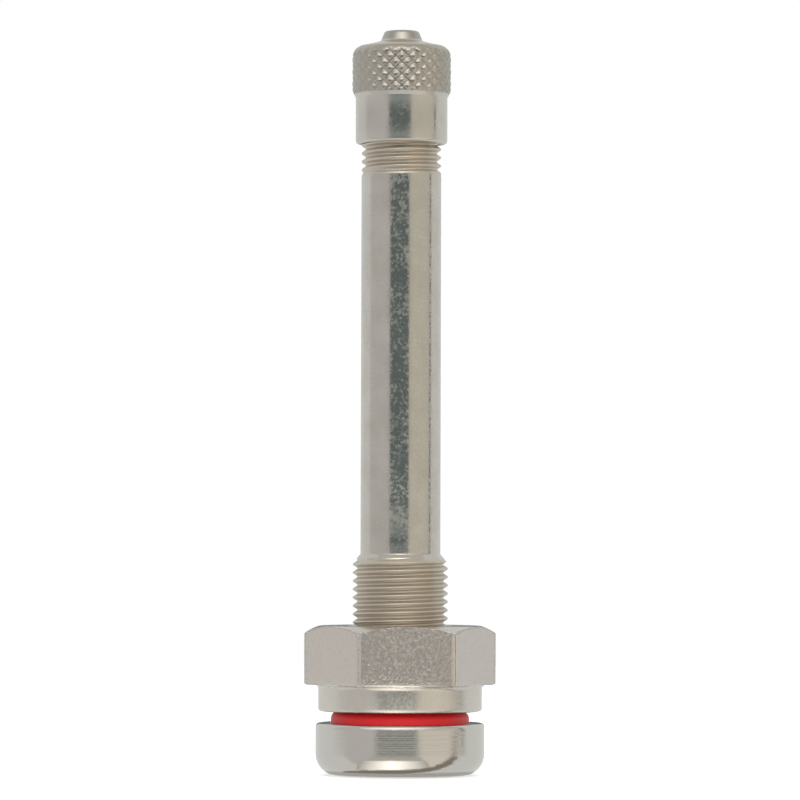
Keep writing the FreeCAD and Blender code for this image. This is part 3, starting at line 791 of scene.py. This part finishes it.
def valve_stem():
    """The stem, with two outer threads and the one inside its mouth."""
    below_thread = [
        (CORE_WALL, CORE_WALL_FOOT),
        (2.35, CORE_WALL_FOOT),
        (CHAMBER, CAP_THREAD_FOOT),
        (CHAMBER, CHAMBER_FOOT, 0.1),
        (BORE, CHAMBER_FOOT - 0.25, 0.1),
        (BORE, 0.4),
        (BORE + 0.4, GROUND, 0.1),
        (FOOT_RADIUS, GROUND, 2.1),
        (FOOT_RADIUS, FOOT_TOP, 0.4),
        (RING_RADIUS + 0.12, FOOT_TOP, 0.1),
        (RING_RADIUS + 0.12, GROOVE_FLOOR),
        (NECK, GROOVE_FLOOR),
        (NECK, NECK_TOP),
        (THREAD_ROOT, THREAD_FOOT),
    ]
    shank = [
        (SHANK_RADIUS, SHANK_FOOT),
        (SHANK_RADIUS, SHANK_TOP, 0.02),
        (CAP_THREAD_RADIUS, CAP_THREAD_FOOT),
    ]
    mouth = [(MOUTH_EDGE, MOUTH), (CORE_WALL, MOUTH)]
    stem = turned("stem_turned", [below_thread, shank, mouth], STEM_COLUMNS)
    cut(
        stem, SCREW_THREAD, NICKEL, columns=STEM_COLUMNS, pitch=COARSE_PITCH * MM,
        crest=NUT_THREAD_RADIUS * MM, depth=NUT_THREAD_DEPTH * MM, crest_height=NUT_THREAD_CREST * MM,
        start=THREAD_FOOT * MM, start_radius=THREAD_ROOT * MM, start_slope=1.0,
        end=SHANK_FOOT * MM, end_radius=SHANK_RADIUS * MM, end_slope=SHOULDER_SLOPE,
    )
    cut(
        stem, SCREW_THREAD, NICKEL, columns=STEM_COLUMNS, pitch=COARSE_PITCH * MM,
        crest=CAP_THREAD_RADIUS * MM, depth=CAP_THREAD_DEPTH * MM, crest_height=CAP_THREAD_CREST * MM,
        start=CAP_THREAD_FOOT * MM, start_fade=0.6 * MM,
        end=MOUTH * MM, end_radius=MOUTH_EDGE * MM, end_slope=1.0,
    )
    cut(
        stem, SCREW_THREAD, NICKEL, columns=STEM_COLUMNS, rows=8, pitch=CORE_PITCH * MM,
        crest=CORE_WALL * MM, depth=-0.3 * MM, start=CORE_WALL_FOOT * MM, start_fade=1.0 * MM,
        end=MOUTH * MM, end_fade=0.5 * MM,
    )
    made_plain(stem, NICKEL)
    return stands_for(stem, "valve_stem")


valve_stem()


# %% [markdown]
# The red ring seals the valve against the rim. Foot and nut press its round section flat above and below,
# so it is no torus but a closed outline with large corner radii, turned as the metal pieces are.

# %% Seal ring
RING_INSIDE = RING_RADIUS - 2.15
RING_ROUND = 0.7


def seal_ring():
    """The ring: a closed section with round corners."""
    section = [
        (RING_INSIDE, GROOVE_FLOOR, RING_ROUND),
        (RING_RADIUS, GROOVE_FLOOR, RING_ROUND),
        (RING_RADIUS, NUT_BASE, RING_ROUND),
        (RING_INSIDE, NUT_BASE, RING_ROUND),
    ]
    ring = turned("seal_ring", [section], STEM_COLUMNS, closed=True)
    made_plain(ring, RED_RUBBER)
    return stands_for(ring, "rim_seal_ring")


seal_ring()


# %% [markdown]
# The nut starts as a lathe blank with a slightly domed top and a turned collar, and the hexagon tree
# mills it. Its rings are close together on the dome, because there the flats cut curved edges.

# %% Clamp nut
NUT_COLUMNS = 288
NUT_TURN = math.radians(4.9)
FLATS = 2 * FOOT_RADIUS - 0.2
NUT_BORE = NUT_THREAD_RADIUS + 0.05
DOME_SLOPE = 0.29
DOME_CURVE = 0.12
DOME_RINGS = 25


def clamp_nut():
    """The nut: turned, milled and threaded."""
    bar = FLATS / 2 / math.cos(math.radians(30)) + 0.25
    crown = FLATS / 2 - 0.3
    collar = FLATS / 2 - 0.15
    steps = np.linspace(0, bar - crown, DOME_RINGS + 1)[1:]
    dome = [(crown + step, NUT_TOP - step * (DOME_SLOPE + DOME_CURVE * step)) for step in steps]
    blank = [
        (NUT_BORE, NUT_TOP - 0.5),
        (NUT_BORE + 0.5, NUT_TOP, 0.08),
        (crown, NUT_TOP, 0.3),
        *dome,
        (bar, HEX_BASE + 0.6),
        (bar, HEX_BASE + 0.4),
        (bar - 0.25, HEX_BASE + 0.1, 0.2),
        (bar - 0.5, HEX_BASE),
        (collar, HEX_BASE, 0.4),
        (collar, NUT_BASE, 0.3),
        (NUT_BORE + 0.5, NUT_BASE, 0.08),
        (NUT_BORE, NUT_BASE + 0.5),
    ]
    nut = turned("nut_turned", [blank], NUT_COLUMNS, first_angle=NUT_TURN)
    cut(nut, MILLED_HEXAGON, NUT_NICKEL, across_flats=FLATS * MM, turn=NUT_TURN, foot=HEX_BASE * MM)
    cut(
        nut, SCREW_THREAD, NUT_NICKEL, columns=NUT_COLUMNS, rows=8, first_angle=NUT_TURN,
        pitch=COARSE_PITCH * MM, crest=NUT_BORE * MM, depth=-0.35 * MM,
        start=(NUT_BASE + 0.5) * MM, start_fade=0.4 * MM, end=(NUT_TOP - 0.5) * MM, end_fade=0.4 * MM,
    )
    made_plain(nut, NUT_NICKEL)
    return stands_for(nut, "clamp_nut")


clamp_nut()


# %% [markdown]
# The cap keeps dirt out of the mouth. It has a skirt, a knurled head, a domed crown and a small boss. Three
# turned outlines leave two stretches open: the knurl tree closes the head's wall, and the thread tree
# the inside, so that grooves and smooth walls meet on the same points.

# %% Valve cap
DIAMONDS = 24
CAP_COLUMNS = DIAMONDS * STEPS
KNURL_PITCH = 1.154
KNURL_DEPTH = 0.2
KNURL_ROWS = 48
CAP_BORE = CAP_THREAD_RADIUS + 0.06
SKIRT = CAP_BORE + 0.53
CROWN_EDGE = CROWN_TOP - 0.4
CROWN_ROUND = 1.15
CROWN_POINTS = 6
HEAD_CHAMFER = 0.65


def valve_cap():
    """The cap: three outlines that its knurl and its thread join."""
    slope = (HEAD_RADIUS - SKIRT) / HEAD_CHAMFER
    knurl_foot = HEAD_FOOT + 0.2
    knurl_top = knurl_foot + KNURL_ROWS / (2 * STEPS) * KNURL_PITCH
    centre = CROWN_EDGE - CROWN_ROUND
    over = knurl_top - centre
    reach = math.sqrt(CROWN_ROUND ** 2 - over ** 2)
    last = math.atan2(over, reach)
    arc = [
        (HEAD_RADIUS - CROWN_ROUND * (1 - math.cos(a)), centre + CROWN_ROUND * math.sin(a))
        for a in np.linspace(last, math.pi / 2, CROWN_POINTS)
    ]
    skirt = [
        (CAP_BORE, CAP_RIM + 0.4),
        (CAP_BORE + 0.15, CAP_RIM, 0.05),
        (SKIRT, CAP_RIM, 0.36),
        (SKIRT, HEAD_FOOT, 0.1),
        (SKIRT + slope * 0.2, knurl_foot),
    ]
    crown = [
        *arc,
        (2.03, CROWN_TOP, 0.3),
        (1.62, BOSS_TOP, 0.35),
        (0.0, BOSS_TOP),
    ]
    inside = [
        (0.0, CAP_CEILING),
        (CAP_BORE, CAP_CEILING, 0.1),
        (CAP_BORE, CAP_CEILING - 1.2),
    ]
    cap = turned("cap_turned", [skirt, crown, inside], CAP_COLUMNS)
    cut(
        cap, DIAMOND_KNURL, CAP_NICKEL, crest=HEAD_RADIUS * MM, depth=KNURL_DEPTH * MM,
        pitch=KNURL_PITCH * MM, tip=0.3,
        start=knurl_foot * MM, start_radius=(SKIRT + slope * 0.2) * MM, start_slope=slope,
        crown_radius=CROWN_ROUND * MM, crown_centre=centre * MM, diamonds=DIAMONDS, rows=KNURL_ROWS,
    )
    cut(
        cap, SCREW_THREAD, CAP_NICKEL, columns=CAP_COLUMNS, rows=8, pitch=COARSE_PITCH * MM,
        crest=CAP_BORE * MM, depth=-0.25 * MM, start=(CAP_RIM + 0.4) * MM, start_fade=0.4 * MM,
        end=(CAP_CEILING - 1.2) * MM, end_fade=0.8 * MM,
    )
    made_plain(cap, CAP_NICKEL)
    return stands_for(cap, "valve_cap")


valve_cap()


# %% [markdown]
# The core sits in the stem's mouth. Its plug screws into the mouth and has a bridge across the top. It
# is turned and threaded in one, and then a block mills each side of the bridge flat above the thread.

# %% Core plug
CORE_COLUMNS = 64
PLUG_RADIUS = CORE_WALL - 0.04
PLUG_FOOT = 60.2
PLUG_TOP = 63.8
BRIDGE_TOP = 66.0
BRIDGE_HALF = 1.0
BLOCK_REACH = 4


def core_plug():
    """The plug: turned, threaded and milled."""
    plug = turned("plug_turned", [[
        (PLUG_RADIUS, PLUG_TOP), (2.3, PLUG_TOP), (2.3, BRIDGE_TOP, 0.15), (0.58, BRIDGE_TOP, 0.05),
        (0.58, 65.0), (1.6, 65.0, 0.3), (1.6, 61.6), (2.1, 61.6),
        (2.1, 60.5), (1.75, 60.5), (1.75, PLUG_FOOT), (PLUG_RADIUS, PLUG_FOOT),
    ]], CORE_COLUMNS)
    cut(
        plug, SCREW_THREAD, BRASS, columns=CORE_COLUMNS, rows=8, pitch=CORE_PITCH * MM,
        crest=PLUG_RADIUS * MM, depth=0.28 * MM, start=PLUG_FOOT * MM, start_fade=0.4 * MM,
        end=PLUG_TOP * MM, end_fade=0.4 * MM,
    )
    made_plain(plug, BRASS)
    for side in (1, -1):
        mill_side(plug, side)
    return stands_for(plug, "core_plug")


def mill_side(plug, side):
    """Cut one side off the bridge with a block."""
    low = Vector((-BLOCK_REACH, side * BRIDGE_HALF, PLUG_TOP)) * MM
    high = Vector((BLOCK_REACH, side * BLOCK_REACH, BRIDGE_TOP + 1)) * MM
    work = bmesh.new()
    bmesh.ops.create_cube(work, size=1)
    for vert in work.verts:
        vert.co = [a if c < 0 else b for a, b, c in zip(low, high, vert.co)]
    bmesh.ops.recalc_face_normals(work, faces=work.faces)
    mesh = bpy.data.meshes.new("milling_block")
    work.to_mesh(mesh)
    work.free()
    block = in_scene("milling_block", mesh)
    milling = plug.modifiers.new("milling", "BOOLEAN")
    milling.operation = "DIFFERENCE"
    milling.object = block
    made_plain(plug, BRASS)
    bpy.data.objects.remove(block)


core_plug()


# %% [markdown]
# The spring stands on a seat in the barrel and keeps the pin up. When the pin is pressed, the coils close
# up over their seat.

# %% Core spring
SPRING_SEAT = 52.85


def core_spring():
    """The spring, with a mesh of its own."""
    spring = in_scene("core_coil", bpy.data.meshes.new("core_coil"))
    cut(
        spring, COIL_SPRING, STEEL, radius=0.83 * MM, wire=0.3 * MM, start=53.02 * MM,
        height=5.66 * MM, turns=6.0,
    )
    made_plain(spring, STEEL)
    stands_for(spring, "core_spring")
    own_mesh(spring)
    return spring


core_spring()


# %% [markdown]
# The other parts of the core are a barrel with a cone gasket, and a pin whose cup holds a rubber seal. A
# flat gasket lies in the cap's roof. All are small turnings, so each is one outline in millimetres.

# %% Core turnings and gaskets
def core_piece(name, outline, material, node, closed=True):
    """A small turned piece in the place of its solid."""
    piece = turned(name, [outline], CORE_COLUMNS, closed=closed)
    made_plain(piece, material)
    return stands_for(piece, node)


core_piece("barrel_turned", [
    (1.0, 51.75, 0.05), (1.3, 51.75, 0.1), (1.5, 52.45, 0.05), (1.5, 57.75, 0.05), (1.7, 57.75, 0.06),
    (1.7, 58.15, 0.06), (1.4, 58.15), (1.4, 59.45), (2.0, 59.45, 0.1), (2.0, 59.95, 0.1), (1.65, 59.95),
    (1.65, 60.55), (2.05, 60.55, 0.1), (2.05, 61.55, 0.1), (1.15, 61.55, 0.1), (1.15, SPRING_SEAT),
    (0.75, SPRING_SEAT, 0.05), (0.75, 52.45), (1.0, 52.45),
], BRASS, "core_barrel")
core_piece("barrel_seal", [
    (1.42, 58.17), (1.998, 58.17, 0.1), (2.368, 59.43, 0.12), (1.42, 59.43),
], RED_RUBBER, "barrel_gasket")
core_piece("pin_turned", [
    (0.0, 49.25), (0.8, 49.25, 0.2), (0.8, 49.65, 0.1), (0.5, 49.65), (0.5, 58.85), (1.0, 58.85, 0.08),
    (1.0, 59.35, 0.08), (0.5, 59.35), (0.5, 67.6), (0.85, 67.6, 0.05), (0.85, 68.2, 0.2), (0.0, 68.2),
], BRASS, "core_pin", closed=False)
core_piece("cup_turned", [
    (0.51, 49.65), (0.95, 49.65, 0.1), (0.95, 50.45, 0.05), (1.61, 50.45, 0.2), (1.61, 51.4, 0.04),
    (1.41, 51.4, 0.04), (1.41, 50.95), (0.51, 50.95),
], BRASS, "valve_cup")
core_piece("cup_disc", [
    (0.51, 50.95), (1.4, 50.95), (1.4, 51.75, 0.08), (0.51, 51.75),
], BLACK_RUBBER, "cup_seal")
core_piece("cap_disc", [
    (1.7, GASKET_FOOT, 0.06), (GASKET_RADIUS, GASKET_FOOT, 0.08),
    (GASKET_RADIUS, CAP_CEILING, 0.08), (1.7, CAP_CEILING, 0.06),
], BLACK_RUBBER, "cap_gasket")


# %% [markdown]
# The photograph looks like one from a light tent, and polished metal shows little but its surroundings.
# So the studio is a ring of large soft cards: a dim gap towards the camera, a rosy card on the left, a
# warm one on the right, then a narrow dark seam, and a pale one behind, with a second gap so that the
# back has contrast too. Cards go on over the floor, because a low upright face mirrors what lies there.
# The camera sees none of them. Only the ring gives light, and the rest just show in the metal.

# %% Studio cards
CARD_DISTANCE = 600 * MM
CARD_HEIGHT = 900 * MM
GAP_HEIGHT = 220 * MM
GAP_DISTANCE = CARD_DISTANCE - 5 * MM
EYE_HEIGHT = 22.5 * MM
FLOOR_CARD_HEIGHT = 0.1 * MM
FLOOR_CARD_START = 6.7 * MM
GAP = (0.14, 0.175, 0.18)
SEAM = (0.05, 0.05, 0.05)
DIM = (0.55, 0.54, 0.515)
PALE = (0.745, 0.765, 0.76)
WARM = (0.652, 0.629, 0.56)
ROSY = (0.61, 0.60, 0.60)
BRIGHT_WARM = (0.83, 0.79, 0.71)
# Start and end in degrees from the camera's direction, to its right, then the colours of card and floor
CARDS = {
    "front_card": (-32, 23, ROSY, None),
    "rosy_card": (-100, -32, ROSY, ROSY),
    "warm_card": (23, 91, WARM, BRIGHT_WARM),
    "dark_seam": (91, 95.5, SEAM, SEAM),
    "pale_card": (95.5, 260, PALE, PALE),
}
# A gap stands in front of its card, from one angle to another
GAPS = {
    "camera_gap": (-32, 23),
    "back_gap": (170, 192),
}
# The floor in front of the camera's gap: distances from the axis in millimetres, and the colour
FLOOR_STRIPS = {
    "near_strip": (10.4, 135, DIM),
    "far_gap": (135, 600, GAP),
}


def glowing(name, colour, strength=lambda tree, place: 1.0):
    """A material that only gives light, evenly or by a formula of the place."""
    material, tree, place = shader(name)
    light = tree.node("ShaderNodeEmission", inputs={
        "Color": (*colour, 1),
        "Strength": strength(tree, place),
    })
    tree.node("ShaderNodeOutputMaterial", inputs={0: light})
    return material


def glowing_strip(name, first, second, material, lights=False):
    """A strip between two rows of points. Only a strip that lights takes part in diffuse light."""
    count = len(first)
    faces = [(i, i + 1, count + i + 1, count + i) for i in range(count - 1)]
    mesh = bpy.data.meshes.new(name)
    mesh.from_pydata(first + second, [], faces)
    mesh.materials.append(material)
    made = in_scene(name, mesh)
    made.visible_camera = False
    made.visible_shadow = False
    made.visible_diffuse = lights


def arc_points(start, end, radius, height):
    """Points on a circle. Angles are degrees from the camera's direction, to its right."""
    angles = np.radians(np.linspace(start, end, max(2, int(end - start) // 4 + 2)))
    return [(radius * math.sin(a), -radius * math.cos(a), height) for a in angles]


def upright_card(name, start, end, distance, low, high, material, lights=False):
    """A card that stands on an arc, between two heights."""
    foot = arc_points(start, end, distance, low)
    top = arc_points(start, end, distance, high)
    glowing_strip(name, foot, top, material, lights)


def floor_card(name, start, end, near, far, material, height=FLOOR_CARD_HEIGHT):
    """A card that lies level between two arcs."""
    inner = arc_points(start, end, near, height)
    outer = arc_points(start, end, far, height)
    glowing_strip(name, inner, outer, material)


for name, (start, end, colour, floor_colour) in CARDS.items():
    upright_card(name, start, end, CARD_DISTANCE, 0, CARD_HEIGHT, glowing(name, colour), lights=True)
    if floor_colour:
        paint = glowing(name + "_floor", floor_colour)
        floor_card(name + "_floor", start, end, FLOOR_CARD_START, CARD_DISTANCE, paint)
for name, (start, end) in GAPS.items():
    upright_card(name, start, end, GAP_DISTANCE, 0, GAP_HEIGHT, glowing(name, GAP))
for name, (near, far, colour) in FLOOR_STRIPS.items():
    floor_card(name, *GAPS["camera_gap"], near * MM, far * MM, glowing(name, colour))
print("cards:", ", ".join(CARDS))


# %% [markdown]
# Highlights come next. A bright panel stands above the camera, where faces that lean back catch it, such
# as thread crests and the upper sides of the knurl. A pool of light lies on the floor just before the
# foot and shows in its large lower radius, above a narrow grey ring of painted shade, which stands for
# the floor in shadow under the foot. Two level trays of light lie nearly edge on to what upright walls
# mirror, so only slopes show them: a low one is for the lower edges of nut and collar, and one at the
# height of the lens for the lower sides of the knurl.

# %% Studio highlights
PANEL_DISTANCE = 550 * MM
PANEL_FOOT = 270 * MM
PANEL_TOP = 880 * MM
POOL_HEIGHT = 0.15 * MM
LOW_TRAY_HEIGHT = 5.6 * MM
WARM_LIGHT = (1, 0.985, 0.93)
# Grey of the painted shade under the foot
FOOT_SHADE_GREY = (0.5, 0.5, 0.49)


def fading(start, end, middle, ends):
    """A strength that falls evenly from the middle of an arc to its two ends."""
    half = math.radians(end - start) / 2
    centre = math.radians(end + start) / 2

    def strength(tree, place):
        x, y, _ = tree.apart(place)
        turn = x.math("ARCTAN2", 0 - y)
        away = ((turn - centre) / half).math("ABSOLUTE").clamped()
        return middle - away * (middle - ends)
    return strength


upright_card(
    "bright_panel", -56, 56, PANEL_DISTANCE, PANEL_FOOT, PANEL_TOP,
    glowing("bright_panel", WARM_LIGHT, fading(-56, 56, middle=2.2, ends=0.65)),
)
floor_card(
    "light_pool", -36, 24, 7.9 * MM, 12.0 * MM,
    glowing("light_pool", WARM_LIGHT, fading(-36, 24, middle=1.9, ends=0.5)), height=POOL_HEIGHT,
)
# A grey ring of painted shade, where the floor lies in shadow under the foot
floor_card(
    "under_foot", -110, 110, 5.9 * MM, 7.35 * MM,
    glowing("under_foot", FOOT_SHADE_GREY), height=POOL_HEIGHT,
)
floor_card(
    "low_tray", -32, 23, 8.6 * MM, 16 * MM,
    glowing("low_tray", WARM_LIGHT, fading(-32, 23, middle=1.6, ends=0.9)), height=LOW_TRAY_HEIGHT,
)
floor_card("eye_tray", -34, 30, 20 * MM, 64 * MM, glowing("eye_tray", PALE), height=EYE_HEIGHT)
print("highlights: bright panel, light pool, ring under the foot, two trays")


# %% [markdown]
# The foot's lower radius also mirrors a soft dark line that swings up to the right. On the floor this is
# a strip that runs close round the foot's front, then out to the right. Between it and the foot, and in a
# like curve on the left, the floor is pale. Points filled in between corners keep these curves smooth.

# %% Dark line and pale sweeps
DARK_LINE = (0.27, 0.255, 0.22)
LINE_HEIGHT = 0.2 * MM
SWEEP_HEIGHT = 0.12 * MM
POINTS_BETWEEN = 8
# Each edge is a list of corners: an angle in degrees and a distance from the axis in millimetres
LINE_OUTER = [
    (-50, 7.45), (-30, 7.75), (0, 7.9), (16, 8.05), (28, 8.6), (41, 10.4), (60, 19), (78, 70), (83, 250),
]
LINE_INNER = [
    (-50, 7.35), (-30, 7.3), (0, 7.3), (18, 7.45), (32, 7.9), (47, 9.2), (67, 15.5), (84, 62), (89, 250),
]
RIGHT_END = [(-50, 7.2), (-30, 7.2), (0, 7.2), (18, 7.2), (40, 7.2), (75, 7.2), (118, 7.2), (106, 62)]
LEFT_OUTER = [(-22, 7.4), (-32, 8.6), (-46, 10.4), (-66, 19), (-85, 70), (-96, 250)]
LEFT_END = [(-22, 7.2), (-40, 7.2), (-70, 7.2), (-118, 7.2), (-110, 70), (-102, 250)]


def line_edge(corners, height):
    """Points along one edge: between two corners, angle and distance change evenly."""
    last = len(corners) - 1
    steps = np.linspace(0, last, POINTS_BETWEEN * last + 1)
    angles = np.interp(steps, range(last + 1), [corner[0] for corner in corners])
    distances = np.interp(steps, range(last + 1), [corner[1] for corner in corners])
    return [arc_points(angle, angle, away * MM, height)[0] for angle, away in zip(angles, distances)]


def floor_band(name, outer, inner, height, colour):
    """A glowing band on the floor between two edges."""
    glowing_strip(name, line_edge(outer, height), line_edge(inner, height), glowing(name, colour))


floor_band("dark_line", LINE_OUTER, LINE_INNER, LINE_HEIGHT, DARK_LINE)
floor_band("right_sweep", LINE_INNER[:-1], RIGHT_END, SWEEP_HEIGHT, PALE)
floor_band("left_sweep", LEFT_OUTER, LEFT_END, SWEEP_HEIGHT, PALE)
print("floor bands: dark line, right sweep, left sweep")


# %% [markdown]
# Overhead hangs a pale ceiling. Two soft lamps light what isn't a mirror, such as the rubber ring, and
# keep out of reflections, because there the cards do the work.

# %% Ceiling and lamps
CEILING = (0.64, 0.62, 0.58)
front_rim = arc_points(-90, 90, CARD_DISTANCE, CARD_HEIGHT)
back_rim = [(x, -y, z) for x, y, z in front_rim]
glowing_strip("ceiling", front_rim, back_rim, glowing("ceiling", CEILING))


def soft_lamp(name, size, power, place):
    """A soft square lamp aimed at the valve, which shows in no reflection."""
    data = bpy.data.lights.new(name, "AREA")
    data.size = size
    data.energy = power
    lamp = in_scene(name, data)
    lamp.location = place
    lamp.rotation_mode = "QUATERNION"
    lamp.rotation_quaternion = (Vector((0, 0, 30 * MM)) - lamp.location).to_track_quat("-Z", "Y")
    lamp.visible_glossy = False


soft_lamp("softbox", size=0.5, power=0.8, place=(0.0, -0.1, 0.85))
soft_lamp("front_fill", size=0.3, power=1.8, place=(0.0, -0.52, 0.3))
print("ceiling, softbox and front fill are in place")


# %% [markdown]
# The photograph has a white ground. A floor bright enough to look white by lamps alone would also light
# the valve too much, so floor and world are white where the camera or a reflection sees them. Elsewhere
# they give a plain pale light, and the floor keeps the valve's soft shadow.

# %% Floor and world
FLOOR_HALF = 420 * MM
FLOOR_HEIGHT = -0.01 * MM
FLOOR_PAINT = (0.82, 0.82, 0.82, 1)


def seen_directly(tree):
    """1 for rays of the camera, of glossy surfaces and through clear ones."""
    path = tree.node("ShaderNodeLightPath")
    seen = path.out("Is Camera Ray").math("MAXIMUM", path.out("Is Glossy Ray"))
    return seen.math("MAXIMUM", path.out("Is Transmission Ray"))


def pale_floor():
    """A white floor that still takes the valve's soft shadow."""
    material, tree, place = shader("pale_floor")
    paint = tree.node("ShaderNodeBsdfDiffuse", inputs={"Color": FLOOR_PAINT})
    glow = tree.node("ShaderNodeEmission", inputs={"Strength": seen_directly(tree) * 0.5})
    both = tree.node("ShaderNodeAddShader", inputs={0: paint, 1: glow})
    tree.node("ShaderNodeOutputMaterial", inputs={0: both})
    mesh = bpy.data.meshes.new("floor")
    signs = [(-1, -1), (1, -1), (1, 1), (-1, 1)]
    corners = [(x * FLOOR_HALF, y * FLOOR_HALF, FLOOR_HEIGHT) for x, y in signs]
    mesh.from_pydata(corners, [], [(0, 1, 2, 3)])
    mesh.materials.append(material)
    in_scene("floor", mesh)


def pale_world():
    """White where it is seen, and a plain pale light elsewhere."""
    world = bpy.data.worlds.new("studio")
    world.use_nodes = True
    world.node_tree.nodes.clear()
    tree = Tree(world.node_tree)
    seen = seen_directly(tree)
    sky = tree.node("ShaderNodeBackground", inputs={"Color": (1, 1, 1, 1), "Strength": seen * 0.3 + 0.7})
    tree.node("ShaderNodeOutputWorld", inputs={0: sky})
    bpy.context.scene.world = world


pale_floor()
pale_world()
print("floor and world are in place")


# %% [markdown]
# The camera stands about half a metre off, a little above the nut, and looks slightly upwards. Its long
# lens keeps upright edges nearly parallel, as they are in the photograph. It is rolled by a sixth of a
# degree, because the valve in the photograph leans that little to the right.

# %% Camera
EYE = Vector((-0.08 * MM, -480 * MM, EYE_HEIGHT))
TARGET = Vector((-0.08 * MM, 0.0, 36 * MM))
ROLL = math.radians(0.158)
LENS = 225
look = TARGET - EYE
data = bpy.data.cameras.new("camera")
data.lens = LENS
data.sensor_width = 36
data.clip_start = 0.01
data.clip_end = 20
camera = in_scene("camera", data)
camera.location = EYE
camera.rotation_mode = "QUATERNION"
camera.rotation_quaternion = look.to_track_quat("-Z", "Y") @ Quaternion((0, 0, 1), ROLL)
bpy.context.scene.camera = camera
bpy.context.scene.view_settings.view_transform = "Standard"
print("camera looks up by", round(math.degrees(math.atan2(look.z, look.y)), 2), "degrees")
